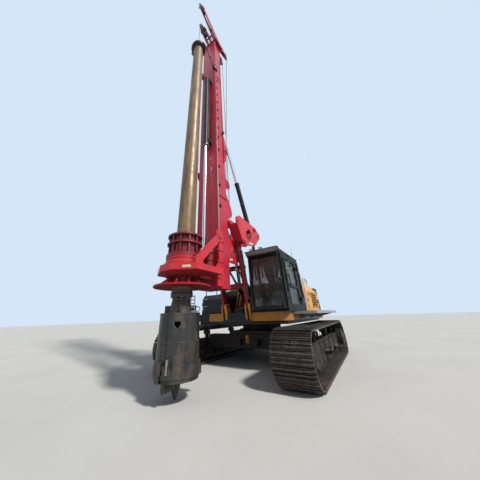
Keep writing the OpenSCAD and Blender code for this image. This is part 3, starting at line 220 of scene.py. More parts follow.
def painted(name, colour, shade, dust=(0.4, 0.33, 0.26), dusty=0.35, chip=(0.1, 0.045, 0.03), chips=0.5,
            rough=0.38, corner_shade=0.55, streak=0.35, gloss=0.5):
    """Paint: two tones, runs of grime, dust on top, painted shade in corners and on downward faces, and chips
    along the edges.
    """
    g = Graph(name)
    fine = g.noise(38, 4)
    tone = g.mix(g.ramp(g.noise(0.9, 5), 0.38, 0.66), colour, shade)
    runs = g.ramp(g.noise(1.0, 5, 0.6, (9, 9, 0.7)), 0.52, 0.74)
    tone = g.mix(g.times(runs, streak), tone, darker(shade, 0.42, 0.02))
    # painted shade: darker in corners and beneath overhangs
    tone = g.mix(g.times(g.occluded_shade(0.22), corner_shade), tone, darker(shade, 0.22, 0.012))
    top, underside_shade = g.times(g.facing(0.35, 0.95), g.ramp(g.noise(3.2, 5), 0.3, 0.72)), g.facing(-0.4, -0.95)
    tone = g.mix(g.times(top, dusty), tone, dust)
    # painted shade: faces that look down are darker
    tone = g.mix(g.times(underside_shade, 0.92), tone, darker(shade, 0.3, 0.004))
    worn = g.times(g.edge(0.012), g.ramp(g.noise(13, 6, 0.65), 0.47, 0.62))
    spots = g.ramp(g.noise(21, 7, 0.7), 0.7, 0.735)
    chipped = g.math("MAXIMUM", g.times(worn, chips), g.times(spots, chips * 0.9), True)
    dull = g.times(g.math("MAXIMUM", top, underside_shade), 0.45)
    dull = g.math("ADD", g.ramp(fine, 0.3, 0.7, rough - 0.07, rough + 0.09), dull)
    g.set(Base_Color=g.mix(chipped, tone, chip), Specular_IOR_Level=gloss,
          Roughness=g.math("ADD", dull, g.times(chipped, 0.3), True))
    g.bump(g.math("SUBTRACT", g.times(fine, 0.3), g.times(chipped, 0.6)), 0.25, 0.004)
    return g.mat


def steel(name, light, dark, rust, rusty=0.4, rough=0.45, metal=0.55, stretch=(1, 1, 1), scale=2.0, bump=0.35,
          wear=0.5, polish=(0.5, 0.48, 0.45)):
    """Bare or forged steel: two tones of scale, rust in patches, painted shade in corners, and polished
    edges.
    """
    g = Graph(name)
    big, fine = g.noise(scale, 6, 0.6, stretch), g.noise(65, 6, 0.7)
    patch = g.times(g.ramp(g.noise(scale * 2.6, 7, 0.68, stretch), 0.47, 0.66), rusty)
    tone = g.mix(patch, g.mix(g.ramp(big, 0.34, 0.68), light, dark), rust)
    tone = g.mix(g.ramp(fine, 0.4, 0.72, 0.0, 0.5), tone, darker(dark, 0.35))
    # painted shade: darker in corners and beneath overhangs
    tone = g.mix(g.times(g.occluded_shade(0.12), 0.6), tone, darker(dark, 0.3))
    worn = g.times(g.times(g.edge(0.012), g.ramp(g.noise(9, 4), 0.35, 0.6)), wear)
    dull = g.ramp(fine, 0.3, 0.75, rough - 0.1, rough + 0.15)
    g.set(Base_Color=g.mix(worn, tone, polish), Roughness=g.math("ADD", dull, g.times(patch, 0.3), True),
          Metallic=g.math("SUBTRACT", metal, g.times(patch, metal), True))
    g.bump(g.math("ADD", g.times(fine, 0.5), big), bump, 0.006)
    return g.mat


def plain(name, colour, shade, rough=0.5, metal=0.0, scale=14.0, bump=0.12, coat=0.0, stretch=None):
    """A moulded or cast surface in two close tones with a fine grain."""
    g = Graph(name)
    n = g.noise(scale, 5, 0.6, stretch)
    g.set(Base_Color=g.mix(g.ramp(n, 0.35, 0.68), colour, shade), Metallic=metal, Coat_Weight=coat,
          Roughness=g.ramp(n, 0.3, 0.7, rough - 0.06, rough + 0.1))
    g.bump(g.noise(scale * 9, 3), bump, 0.002)
    return g.mat


def glass(name, colour, alpha):
    g = Graph(name)
    smear = g.ramp(g.noise(2.6, 6, 0.65), 0.42, 0.75)
    g.set(Base_Color=g.mix(smear, colour, (0.2, 0.22, 0.2)), IOR=1.5,
          Alpha=g.ramp(smear, 0, 1, alpha, alpha + 0.16), Roughness=g.ramp(smear, 0, 1, 0.03, 0.16))
    g.bump(g.noise(1.3, 2), 0.05, 0.01)
    return g.mat


RED = painted("red_paint", (0.62, 0.022, 0.036), (0.46, 0.014, 0.024), dusty=0.22, streak=0.25)
# the red paint darkened into painted shade, for the cage, boom, guide and other parts seen in shade
RED_SHADED = painted("red_paint_shaded", (0.25, 0.009, 0.017), (0.16, 0.007, 0.012), dusty=0.28, chips=0.7)
# the red paint half darkened as painted shade, for the sleeve plate seen from below
RED_HALF_SHADED = painted("red_paint_half_shaded", (0.46, 0.016, 0.028), (0.32, 0.012, 0.02), dusty=0.3, chips=0.8,
                  gloss=0.2)
MAST_RED = painted("red_paint_mast", (0.53, 0.024, 0.054), (0.41, 0.017, 0.04), dusty=0.18, streak=0.45)
YELLOW = painted("yellow_paint", (0.78, 0.36, 0.03), (0.66, 0.28, 0.022), dusty=0.45, chips=0.55,
                 streak=0.45)
# the yellow paint darkened as painted shade, for the deck
YELLOW_SHADED = painted("yellow_paint_shaded", (0.52, 0.215, 0.018), (0.4, 0.155, 0.014), dusty=0.4, chips=0.7,
               streak=0.6)
BLACK = painted("black_paint", (0.022, 0.022, 0.024), (0.013, 0.013, 0.015), dusty=0.45,
                chip=(0.14, 0.1, 0.08), chips=0.6, rough=0.42, gloss=0.25)
# black paint darkened further as painted shade, for the undercarriage
UNDER_SHADED = painted("undercarriage_paint_shaded", (0.022, 0.02, 0.021), (0.034, 0.029, 0.026), dust=(0.16, 0.12, 0.09),
                dusty=0.6, chip=(0.16, 0.1, 0.07), chips=0.8, rough=0.6, corner_shade=0.5, gloss=0.2)
CABIN = painted("cab_paint", (0.008, 0.009, 0.01), (0.005, 0.005, 0.006), dusty=0.15, chips=0.2, rough=0.42,
                streak=0.15, gloss=0.12)
ROOF = painted("cab_roof_paint", (0.52, 0.53, 0.53), (0.4, 0.41, 0.41), chips=0.3)
WHITE = painted("white_rail_paint", (0.66, 0.65, 0.62), (0.52, 0.51, 0.48), dusty=0.2)
IRON = painted("engine_iron", (0.1, 0.1, 0.085), (0.06, 0.06, 0.05), dusty=0.5)
# track steel darkened as painted shade
TRACK_SHADED = steel("track_steel", (0.09, 0.07, 0.062), (0.045, 0.036, 0.033), (0.11, 0.06, 0.042), rusty=0.55,
              rough=0.55, metal=0.45, scale=1.6, bump=0.5, wear=0.8, polish=(0.34, 0.3, 0.27))
WHEEL = steel("wheel_steel", (0.06, 0.052, 0.047), (0.032, 0.028, 0.026), (0.09, 0.052, 0.034), rusty=0.5,
              rough=0.5, metal=0.5)
KELLY = steel("kelly_steel", (0.33, 0.205, 0.095), (0.125, 0.072, 0.042), (0.115, 0.05, 0.028), rusty=0.72,
              rough=0.38, metal=0.22, stretch=(2.6, 2.6, 0.5), scale=1.6, bump=0.5, wear=0.4,
              polish=(0.6, 0.5, 0.36))
KELLY_DARK = steel("kelly_collar_steel", (0.085, 0.07, 0.062), (0.045, 0.038, 0.034), (0.16, 0.08, 0.04),
                   metal=0.5)
BUCKET = steel("bucket_steel", (0.066, 0.069, 0.066), (0.022, 0.025, 0.029), (0.26, 0.165, 0.08), rusty=0.36,
               rough=0.36, metal=0.5, stretch=(1.0, 1.0, 0.55), scale=1.5, bump=0.5, wear=0.35,
               polish=(0.3, 0.28, 0.24))
BRIGHT = steel("rail_steel", (0.46, 0.45, 0.44), (0.3, 0.28, 0.27), (0.22, 0.13, 0.09), rusty=0.25,
               rough=0.3, metal=0.85, stretch=(3, 3, 0.3), bump=0.15)
ROPE_STEEL = steel("rope_steel", (0.11, 0.105, 0.1), (0.05, 0.048, 0.045), (0.13, 0.08, 0.05), rusty=0.3,
                   metal=0.7)
GREY = steel("galvanised_steel", (0.46, 0.46, 0.47), (0.33, 0.33, 0.35), (0.3, 0.22, 0.16), rusty=0.2,
             metal=0.6, scale=5, bump=0.2)
CHROME = plain("rod_chrome", (0.8, 0.8, 0.82), (0.7, 0.7, 0.73), rough=0.14, metal=1.0, scale=6,
               bump=0.03)
RUBBER = plain("hose_rubber", (0.022, 0.022, 0.023), (0.045, 0.043, 0.04), rough=0.55, scale=9, bump=0.2)
TRIM = plain("cab_trim", (0.045, 0.046, 0.05), (0.03, 0.03, 0.034), rough=0.6, scale=30, bump=0.3)
SEAT = plain("seat_fabric", (0.055, 0.055, 0.062), (0.032, 0.032, 0.038), rough=0.85, scale=60, bump=0.5)
PLATE = plain("blank_plate", (0.62, 0.58, 0.48), (0.5, 0.46, 0.38), rough=0.4, scale=12, bump=0.1)
AMBER = plain("amber_lens", (0.75, 0.2, 0.02), (0.6, 0.14, 0.01), rough=0.15, scale=20, bump=0.05, coat=0.6)
LENS = plain("lamp_lens", (0.72, 0.74, 0.74), (0.55, 0.57, 0.58), rough=0.1, scale=40, bump=0.3, coat=0.8)
TAIL = plain("tail_lens", (0.5, 0.02, 0.02), (0.35, 0.01, 0.01), rough=0.15, scale=40, bump=0.2, coat=0.6)
CURTAIN = plain("curtain_cloth", (0.36, 0.035, 0.045), (0.22, 0.02, 0.03), rough=0.9, scale=25, bump=0.3,
                stretch=(6, 6, 0.5))
MIRROR = plain("mirror_glass", (0.75, 0.78, 0.8), (0.7, 0.73, 0.75), rough=0.05, metal=1.0, scale=3,
               bump=0.01)
GLASS = glass("tinted_glass", (0.05, 0.075, 0.07), 0.34)

for look, nodes in (
        # painted shade: the car body and track frames get the darkened black
        (UNDER_SHADED, "car_body track_frame_left track_frame_right"),
        # painted shade: the tracks get the darkened steel
        (TRACK_SHADED, "track_left track_right"),
        (WHEEL, "slew_ring track_wheels_left track_wheels_right"),
        # painted shade: the deck gets the darkened yellow
        (YELLOW_SHADED, "deck"), (YELLOW, "engine_house engine_hood"), (IRON, "engine"), (GREY, "walkway"),
        (BLACK, "counterweight side_tank exhaust cab_guard tie_links luff_barrels mast_barrels crowd_barrel"),
        (CABIN, "cab_shell cab_door"), (GLASS, "cab_glass door_glass"), (SEAT, "cab_seat"),
        # painted shade: darker copies of the red paint, full and half
        (RED_SHADED, "boom drive_cage drive_motors kelly_guide"), (RED_HALF_SHADED, "drive_sleeve"),
        (RED, "mast_carrier winch_frame carriage drive_housing"),
        (CHROME, "luff_rods mast_rod_left mast_rod_right crowd_rod"),
        (MAST_RED, "mast_lower mast_middle mast_upper head_frame head_jib"),
        (ROPE_STEEL, "winch_drum aux_drum head_sheave jib_sheave tail_sheave_main tail_sheave_aux"),
        (KELLY, "kelly_outer"), (KELLY_DARK, "kelly_inner"), (BUCKET, "bucket_shell bucket_gate")):
    for node in nodes.split():
        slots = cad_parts[node].data.materials
        slots.clear()
        slots.append(look)


def make_floor():
    g = Graph("floor")
    g.set(Base_Color=g.mix(g.ramp(g.noise(0.5, 4), 0.4, 0.65), (0.62, 0.615, 0.6), (0.58, 0.575, 0.56)),
          Roughness=0.85)
    mesh = bpy.data.meshes.new("floor")
    s = 120
    mesh.from_pydata([(-s, -s, 0), (s, -s, 0), (s, s, 0), (-s, s, 0)], [], [(0, 1, 2, 3)])
    mesh.materials.append(g.mat)
    ob = bpy.data.objects.new("floor", mesh)
    scene.collection.objects.link(ob)


make_floor()

# Mesh building
DRILL_X = middle("kelly_outer")[0]      # the drilling axis


def rot_z(a):
    return Matrix.Rotation(math.radians(a), 3, "Z")


def rot_y(a):
    return Matrix.Rotation(math.radians(a), 3, "Y")


def basis(direction):
    """Two unit vectors square to a direction."""
    d = Vector(direction).normalized()
    u = d.cross(Vector((0, 0, 1)) if abs(d.z) < 0.95 else Vector((0, 1, 0))).normalized()
    return u, d.cross(u)


def round_about(at, axis, r, count, turn=0.0):
    """Points on a circle, with the turn in radians."""
    u, w = basis(axis)
    angles = (2 * math.pi * i / count + turn for i in range(count))
    return [Vector(at) + (u * math.cos(a) + w * math.sin(a)) * r for a in angles]


def spline(pts, steps):
    """A smooth line through the points."""
    out = []
    for i in range(len(pts) - 1):
        p0, p1, p2, p3 = pts[max(i - 1, 0)], pts[i], pts[i + 1], pts[min(i + 2, len(pts) - 1)]
        for k in range(steps):
            t = k / steps
            out.append(0.5 * ((2 * p1) + (p2 - p0) * t + (2 * p0 - 5 * p1 + 4 * p2 - p3) * t * t
                              + (3 * p1 - p0 - 3 * p2 + p3) * t ** 3))
    return out + [pts[-1]]


def about(c, half):
    """A pair of values as far to one side of a middle as to the other."""
    return c - half, c + half


def span(side, a, b):
    """A pair of Y values on one side of the machine, lowest first."""
    return (a, b) if side > 0 else (-b, -a)


class Piece:
    """Collects solids given from the slewing axis, in metres, and makes one object of them."""

    def __init__(self, name, body, look, bevel=0.0, replaces=(), slot=None, angle=35):
        self.name, self.body, self.look, self.bevel = name, body, look, bevel
        self.replaced, self.slot, self.angle = replaces, slot, angle
        self.verts, self.faces, self.looks = [], [], []

    def put(self, verts, faces, look=None):
        n = len(self.verts)
        self.verts += [Vector(v) for v in verts]
        self.faces += [tuple(n + i for i in f) for f in faces]
        self.looks += [look or self.look] * len(faces)

    def loft(self, rows, look=None, closed=False):
        """Faces between rows of as many points each, capped at both ends or closed to a loop."""
        n, last = len(rows[0]), len(rows) - 1
        faces = [(k * n + i, k * n + (i + 1) % n, m * n + (i + 1) % n, m * n + i)
                 for k, m in [(k, k + 1) for k in range(last)] + [(last, 0)] * closed for i in range(n)]
        if not closed:
            faces += [tuple(range(n))[::-1], tuple(range(last * n, last * n + n))]
        self.put([v for row in rows for v in row], faces, look)

    def box(self, x, y, z, look=None, turn=None, at=None):
        """A box between pairs of x, y and z, turned about a point or about its own middle."""
        corners = ((x[0], y[0]), (x[1], y[0]), (x[1], y[1]), (x[0], y[1]))
        rows = [[Vector((*c, h)) for c in corners] for h in z]
        if turn:
            c = Vector(at) if at else (rows[0][0] + rows[1][2]) / 2
            rows = [[c + turn @ (v - c) for v in row] for row in rows]
        self.loft(rows, look)

    def spoke(self, angle, r, y, z, look=None):
        """A box that stands out between two radii from the drilling axis, turned about that axis."""
        self.box((DRILL_X + r[0], DRILL_X + r[1]), y, z, look, rot_z(angle), (DRILL_X, 0, 0))

    def prism(self, outline, a, b, axis="y", look=None):
        """An outline between two planes: [x, z] along y, [y, z] along x, or [x, y] along z."""
        def at(p, k):
            return {"y": (p[0], k, p[1]), "x": (k, p[0], p[1]), "z": (p[0], p[1], k)}[axis]
        area = sum(outline[i - 1][0] * p[1] - p[0] * outline[i - 1][1] for i, p in enumerate(outline))
        pts = list(outline)[::1 if (area > 0) != (axis == "y") else -1]
        self.loft([[at(p, k) for p in pts] for k in (a, b)], look)

    def lathe(self, at, axis, profile, n=32, look=None, closed=False):
        """Rings of (radius, height along the axis), capped unless the profile is itself a closed loop."""
        at, d = Vector(at), Vector(axis).normalized()
        self.loft([round_about(at + d * h, d, max(r, 1e-5), n) for r, h in profile], look, closed)

    def ring(self, at, axis, r1, r0, height, n=32, look=None, low=0):
        self.lathe(at, axis, [(r0, low), (r1, low), (r1, height), (r0, height)], n, look, True)

    def collar(self, z, profile, look=None, n=48, closed=True):
        """A lathed shape on the drilling axis."""
        self.lathe((DRILL_X, 0, z), UP, profile, n, look, closed)

    def hoop(self, z, r1, r0, height, look=None, n=48):
        """A flat ring on the drilling axis, from z upwards."""
        self.ring((DRILL_X, 0, z), UP, r1, r0, height, n, look)

    def rod(self, a, b, r, n=16, look=None, tip=None):
        a, b = Vector(a), Vector(b)
        self.lathe(a, b - a, [(r, 0), (r if tip is None else tip, (b - a).length)], n, look)

    def bolt(self, at, axis, r, h, look=None):
        self.lathe(at, axis, [(r * 1.45, -0.004), (r * 1.45, 0.003)], 12, look)
        self.lathe(at, axis, [(r, 0), (r, h), (r * 0.8, h * 1.25)], 6, look)

    def bolts_round(self, at, axis, circle, count, r, h, look=None, turn=0.0):
        for spot in round_about(at, axis, circle, count, turn):
            self.bolt(spot, axis, r, h, look)

    def tube(self, points, r, look=None, smooth=4, n=8):
        pts = [Vector(p) for p in points]
        pts = spline(pts, smooth) if smooth else pts
        up = basis(pts[1] - pts[0])[0]
        rows = []
        for k, p in enumerate(pts):
            d = (pts[min(k + 1, len(pts) - 1)] - pts[max(k - 1, 0)]).normalized()
            up = (up - d * up.dot(d)).normalized()
            w = d.cross(up)
            angles = (2 * math.pi * i / n for i in range(n))
            rows.append([p + (up * math.cos(a) + w * math.sin(a)) * r for a in angles])
        self.loft(rows, look)

    def make(self):
        mesh = bpy.data.meshes.new(self.name)
        mesh.from_pydata([v - Vector((MID, 0, 0)) for v in self.verts], [], self.faces)
        slots = {look: i for i, look in enumerate(dict.fromkeys(self.looks))}
        for look in slots:
            mesh.materials.append(look)
        mesh.polygons.foreach_set("material_index", [slots[look] for look in self.looks])
        mesh.validate()
        ob = bpy.data.objects.new(self.name, mesh)
        scene.collection.objects.link(ob)
        if self.bevel:
            mod = ob.modifiers.new("bevel", "BEVEL")
            mod.width, mod.segments, mod.use_clamp_overlap, mod.harden_normals = self.bevel, 2, True, True
            mod.limit_method, mod.angle_limit = "ANGLE", math.radians(40)
        mesh.polygons.foreach_set("use_smooth", [True] * len(mesh.polygons))
        mesh.set_sharp_from_angle(angle=math.radians(self.angle))
        if self.body:
            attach(ob, self.body)
        if self.replaced:
            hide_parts(*self.replaced)
        return ob


# Crawlers
TRACK_Y, TRACK_R = middle("track_left")[1:]
FRAME_HALF = 0.2                                    # half the width of a track frame
STRAIGHT = 4.82                                     # between the axles of idler and sprocket
PITCH_R = TRACK_R - 0.065                           # the chain's line on the wheels
SHOES = 56
LAP = 2 * STRAIGHT + 2 * math.pi * PITCH_R
PITCH = LAP / SHOES
SHOE_HALF = 0.425
PLATE_H = 0.03                                      # what stands higher on a shoe is a grouser
# along the pitch, and height over the chain's line: one shoe with three grousers and overlapping lips
SHOE = [(-0.49, 0.004), (-0.46, 0.02), (-0.395, 0.024), (-0.375, 0.06), (-0.335, 0.064), (-0.315, 0.026),
        (-0.05, 0.022), (-0.025, 0.056), (0.02, 0.06), (0.045, 0.022), (0.27, 0.024), (0.295, 0.06),
        (0.335, 0.064), (0.36, 0.028), (0.47, 0.024), (0.5, 0.012), (0.5, -0.002), (-0.49, -0.006)]
LINK = [(-0.56, -0.058), (-0.42, -0.03), (0.3, -0.004), (0.44, -0.01), (0.56, -0.05), (0.5, -0.092),
        (0.28, -0.1), (-0.36, -0.1), (-0.56, -0.092)]


def on_track(s):
    """Place, direction and outward normal on the chain's line, s along it."""
    half, arc = STRAIGHT / 2, math.pi * PITCH_R
    way, s = (-1, s) if s < STRAIGHT + arc else (1, s - STRAIGHT - arc)      # below backwards, above forwards
    if s < STRAIGHT:
        at = Vector((way * (s - half), 0, TRACK_R + way * PITCH_R))
        return at, Vector((way, 0, 0)), Vector((0, 0, way))
    a = (s - STRAIGHT) / PITCH_R
    n = Vector((math.sin(a), 0, math.cos(a))) * way
    return Vector((way * half, 0, TRACK_R)) + n * PITCH_R, Vector((math.cos(a), 0, -math.sin(a))) * way, n


def chain_slice(spot, y, section, squeeze=1.0, worn=0.0):
    """A section's points at one Y; its grousers are drawn in and worn."""
    at, along, out = spot
    return [at + along * (s * PITCH) + out * (h * squeeze + worn if h > PLATE_H else h) + Vector((0, y, 0))
            for s, h in section]


def track(side):
    name = SIDE_NAME[side]
    # the chain is drawn in the track steel that is darkened as painted shade
    p = Piece("track_chain_" + name, "undercarriage", TRACK_SHADED, replaces=("track_" + name,), slot="track_steel",
              angle=25)
    y0 = side * TRACK_Y
    wear = [RNG.uniform(-0.004, 0.003) for _ in range(SHOES)]
    for i in range(SHOES):
        spot = at, along, out = on_track((i + 0.5) * PITCH)
        edge = SHOE_HALF - 0.05
        p.loft([chain_slice(spot, y0 + y, SHOE, squeeze, wear[i])
                for y, squeeze in ((-SHOE_HALF, 0.86), (-edge, 1.0), (edge, 1.0), (SHOE_HALF, 0.86))])
        for y in (-0.125, -0.06, 0.06, 0.125):
            for s in (-0.19, 0.16):
                bolt = at + along * (s * PITCH) + Vector((0, y0 + y, 0)) + out * 0.02
                p.lathe(bolt, out, [(0.02, 0), (0.017, 0.016)], 6, WHEEL)
        # links inside the shoe, and the pin through their ears
        for low in (-0.12, 0.075):
            p.loft([chain_slice(spot, y0 + y, LINK) for y in (low, low + 0.045)], WHEEL)
        pin = at + along * (0.5 * PITCH) - out * 0.062
        p.rod(pin + Vector((0, y0 - 0.13, 0)), pin + Vector((0, y0 + 0.13, 0)), 0.026, 10, WHEEL)
    p.make()


def crawler_details(side):
    p = Piece("crawler_fittings_" + SIDE_NAME[side], "undercarriage", UNDER_SHADED, bevel=0.004)
    y = side * TRACK_Y
    row = STRAIGHT - 1.25
    for e in SIDES:
        face, way = y + e * FRAME_HALF, (0, e, 0)
        # end caps of the lower rollers, idler and sprocket hubs
        for i in range(9):
            x = row * (i / 8 - 0.5) - 0.02
            p.lathe((x, face + e * 0.001, 0.275), way, [(0.062, -0.02), (0.062, 0.012), (0.045, 0.024),
                                                        (0.018, 0.028)], 20, WHEEL)
            p.box(about(x, 0.11), about(face, 0.012), (0.3, 0.36))
            for bolt_x in about(x, 0.08):
                p.bolt((bolt_x, face + e * 0.012, 0.33), way, 0.014, 0.012, WHEEL)
        for x in about(0, STRAIGHT / 2):
            p.lathe((x, face + e * 0.03, TRACK_R), way, [(0.11, -0.03), (0.11, 0.012), (0.07, 0.02),
                                                         (0.03, 0.024)], 24, WHEEL)
            p.bolts_round((x, face + e * 0.042, TRACK_R), way, 0.088, 8, 0.011, 0.01, WHEEL)
        # the adjuster's window and a stiffened side of the frame
        p.box((1.25, 1.65), (face - 0.006, face + 0.01), (0.5, 0.66))
        for x in (1.29, 1.61):
            for z in (0.53, 0.63):
                p.bolt((x, face + e * 0.01, z), way, 0.012, 0.01, WHEEL)
        p.box((-1.9, 1.9), (face - 0.004, face + 0.014), (0.395, 0.425))
        for x in (-1.2, -0.4, 0.4, 1.05):
            p.box(about(x, 0.012), (face - 0.004, face + 0.016), (0.425, 0.7))
        # chain guards under the frame
        for x in (-1.5, 0.0, 1.5):
            p.prism([(x - 0.26, 0.3), (x + 0.26, 0.3), (x + 0.2, 0.185), (x - 0.2, 0.185)], face - 0.004,
                    face + 0.016)
        # spokes of the idler
        for k in range(6):
            turn = rot_y(-60 * k - 15)
            c = Vector((STRAIGHT / 2, y + e * 0.085, TRACK_R)) + turn @ Vector((0.205, 0, 0))
            p.box(about(c.x, 0.095), about(c.y, 0.013), about(c.z, 0.014), WHEEL, turn)
    # final drive: motor cover and its two bolt circles
    hub = Vector((-STRAIGHT / 2, y + side * 0.38, TRACK_R))
    way = Vector((0, side, 0))
    p.lathe(hub, way, [(0.235, -0.02), (0.235, 0.012), (0.2, 0.02), (0.155, 0.022), (0.135, 0.045),
                       (0.05, 0.05)], 36, WHEEL)
    p.bolts_round(hub + way * 0.016, way, 0.216, 16, 0.011, 0.01, WHEEL)
    p.bolts_round(hub + way * 0.022, way, 0.175, 10, 0.009, 0.008, WHEEL)
    # steps on the frame's outer side
    for x in (-0.35, 0.45):
        p.box(about(x, 0.17), span(side, 2.07, 2.26), (0.42, 0.44), BLACK)
        p.box(about(x, 0.17), span(side, 2.245, 2.26), (0.42, 0.5), BLACK)
        for leg in about(x, 0.15):
            p.box(about(leg, 0.01), span(side, 2.07, 2.26), (0.36, 0.425), BLACK)
    p.make()


for side in SIDES:
    track(side)
for side in SIDES:
    crawler_details(side)

# Kelly, its guide and the drive
KELLY_R = 0.235
CAGE_TOP = place("drive_cage")[1][2]
GUIDE_LOW, GUIDE_TOP = 12.9, 13.32
CHEEK_Y = 0.494                         # outside of the carriage's side plates


def kelly_guide():
    p = Piece("kelly_guide_frame", "kelly_guide", RED_SHADED, bevel=0.006, replaces=("kelly_guide",),
              slot="red_paint")
    z0, z1 = GUIDE_LOW, GUIDE_TOP
    for s in SIDES:
        # shoe on the rail, two arms with a strut, and a gusset
        for x0, x1, y0, y1 in ((3.2006, 3.26, 0.32, 0.434), (3.09, 3.26, 0.434, 0.474),
                               (3.05, 3.1194, 0.368, 0.474)):
            p.box((x0, x1), span(s, y0, y1), (z0, z1))
        y = span(s, 0.385, 0.425)
        p.prism([(3.255, z0), (3.255, z0 + 0.16), (3.62, z0 + 0.56), (3.95, z1 + 0.545), (4.12, z1 + 0.545),
                 (4.12, z1 + 0.475), (3.98, z1 + 0.46), (3.7, z0 + 0.48)], *y)
        p.prism([(3.255, z1 - 0.12), (3.255, z1), (4.02, z1 + 0.56), (4.1, z1 + 0.54),
                 (4.06, z1 + 0.47)], *y)
        p.box((3.58, 3.64), y, (z0 + 0.42, z1 + 0.24))
        for z in (z0 + 0.06, z0 + 0.21, z0 + 0.36):
            for x in (3.12, 3.22):
                p.bolt((x, s * 0.474, z), (0, s, 0), 0.014, 0.012, BRIGHT)
        p.prism([(3.26, z0 + 0.02), (3.42, z0 + 0.16), (3.26, z0 + 0.3)], *span(s, 0.33, 0.35))
        p.box((DRILL_X - 0.14, DRILL_X + 0.1), span(s, 0.33, 0.43), (13.802, 13.868), KELLY_DARK)
    p.hoop(13.8, 0.375, KELLY_R + 0.004, 0.088, KELLY_DARK)
    p.hoop(13.77, 0.3, KELLY_R + 0.004, 0.035, KELLY_DARK)
    p.make()


def kelly_details():
    p = Piece("kelly_keys_and_collar", "kelly_outer", KELLY, slot="kelly_steel")
    for k in range(3):
        key = [Vector((DRILL_X, 0, 0)) + rot_z(120 * k + 22) @ Vector((r, w, 0))
               for r, w in ((0.23, -0.034), (0.2455, -0.03), (0.2455, 0.03), (0.23, 0.034))]
        for z0, z1 in ((2.1, 4.6), (4.63, 7.5), (7.53, 10.4), (10.43, 13.7)):
            p.prism(key, z0, z1, "z")
    # dark collar, its bolts and the tube's ends
    p.collar(13.89, [(0.22, 0.0), (0.352, 0.001), (0.356, 0.02), (0.356, 0.09), (0.348, 0.113),
                     (0.284, 0.118), (0.279, 0.176), (0.262, 0.186), (0.22, 0.187)], KELLY_DARK, 56)
    p.bolts_round((DRILL_X, 0, 14.005), UP, 0.318, 12, 0.017, 0.016, BRIGHT)
    for z, r1, r0, height in ((14.07, 0.243, 0.205, 0.086), (13.66, 0.2385, 0.228, 0.03),
                              (13.74, 0.2385, 0.228, 0.03), (1.862, 0.2375, 0.215, 0.05)):
        p.hoop(z, r1, r0, height, KELLY_DARK)
    p.make()


def kelly_swivel():
    """Swivel and rope socket on top of the inner bar, and the drive flange over the tool's stub."""
    p = Piece("kelly_swivel", "kelly_inner", KELLY_DARK, slot="kelly_steel")
    p.collar(14.145, [(0.09, 0), (0.112, 0.01), (0.112, 0.05), (0.094, 0.06), (0.094, 0.14)], n=32,
             closed=False)
    p.collar(14.285, [(0.07, 0), (0.058, 0.012), (0.058, 0.12), (0.074, 0.13), (0.074, 0.165), (0.04, 0.19),
                      (0.026, 0.3), (0.02, 0.36)], ROPE_STEEL, 28, False)
    p.rod((DRILL_X, -0.095, 14.38), (DRILL_X, 0.095, 14.38), 0.022, 16, BRIGHT)
    p.collar(1.745, [(0.17, -0.002), (0.244, 0.0), (0.249, 0.02), (0.249, 0.088), (0.236, 0.108),
                     (0.19, 0.112)], closed=False)
    p.bolts_round((DRILL_X, 0, 1.748), DOWN, 0.217, 10, 0.014, 0.014, BRIGHT, math.radians(-9))
    p.make()


def drum_details(p):
    """What goes round the drilling axis: the cage's liner, rings, ribs, seams and bolt circles."""
    p.hoop(2.64, 0.345, 0.318, 0.535, RED_SHADED)
    p.collar(2.685, [(0.345, 0), (0.415, 0.002), (0.36, 0.05), (0.345, 0.05)], RED_SHADED)
    for k in range(12):
        for z0, z1 in ((2.72, 2.92), (3.00, 3.1)):
            p.spoke(30 * k + 15, (0.343, 0.355), (-0.05, 0.05), (z0, z1), RED_SHADED)
    # rings and short ribs on the drum between the housing and the cage
    for z in (2.56, 2.622):
        p.hoop(z, 0.438, 0.4245, 0.016)
    for k in range(24):
        p.spoke(15 * k + 7, (0.4245, 0.437), (-0.008, 0.008), (2.576, 2.622))
    # weld seams round the foot of the drum, and under the housing its seal ring and bevel
    p.collar(2.488, [(0.426, 0), (0.452, 0), (0.426, 0.026)])
    p.collar(2.398, [(0.455, 0), (0.478, 0), (0.457, 0.022)])
    p.collar(2.162, [(0.305, 0.0), (0.375, 0.0), (0.388, 0.0078), (0.305, 0.0078)], RED_SHADED)
    p.collar(2.25, [(0.5, -0.026), (0.556, 0.004), (0.556, 0.0098), (0.5, 0.0098)])
    for z, axis, circle, count, r, h, turn in (
            (CAGE_TOP, UP, 0.4, 12, 0.016, 0.015, 15), (2.4905, UP, 0.441, 12, 0.008, 0.01, 15),
            (2.4, UP, 0.5, 24, 0.015, 0.014, 4), (2.163, DOWN, 0.35, 16, 0.013, 0.012, -6)):
        p.bolts_round((DRILL_X, 0, z), axis, circle, count, r, h, ROPE_STEEL, math.radians(turn))


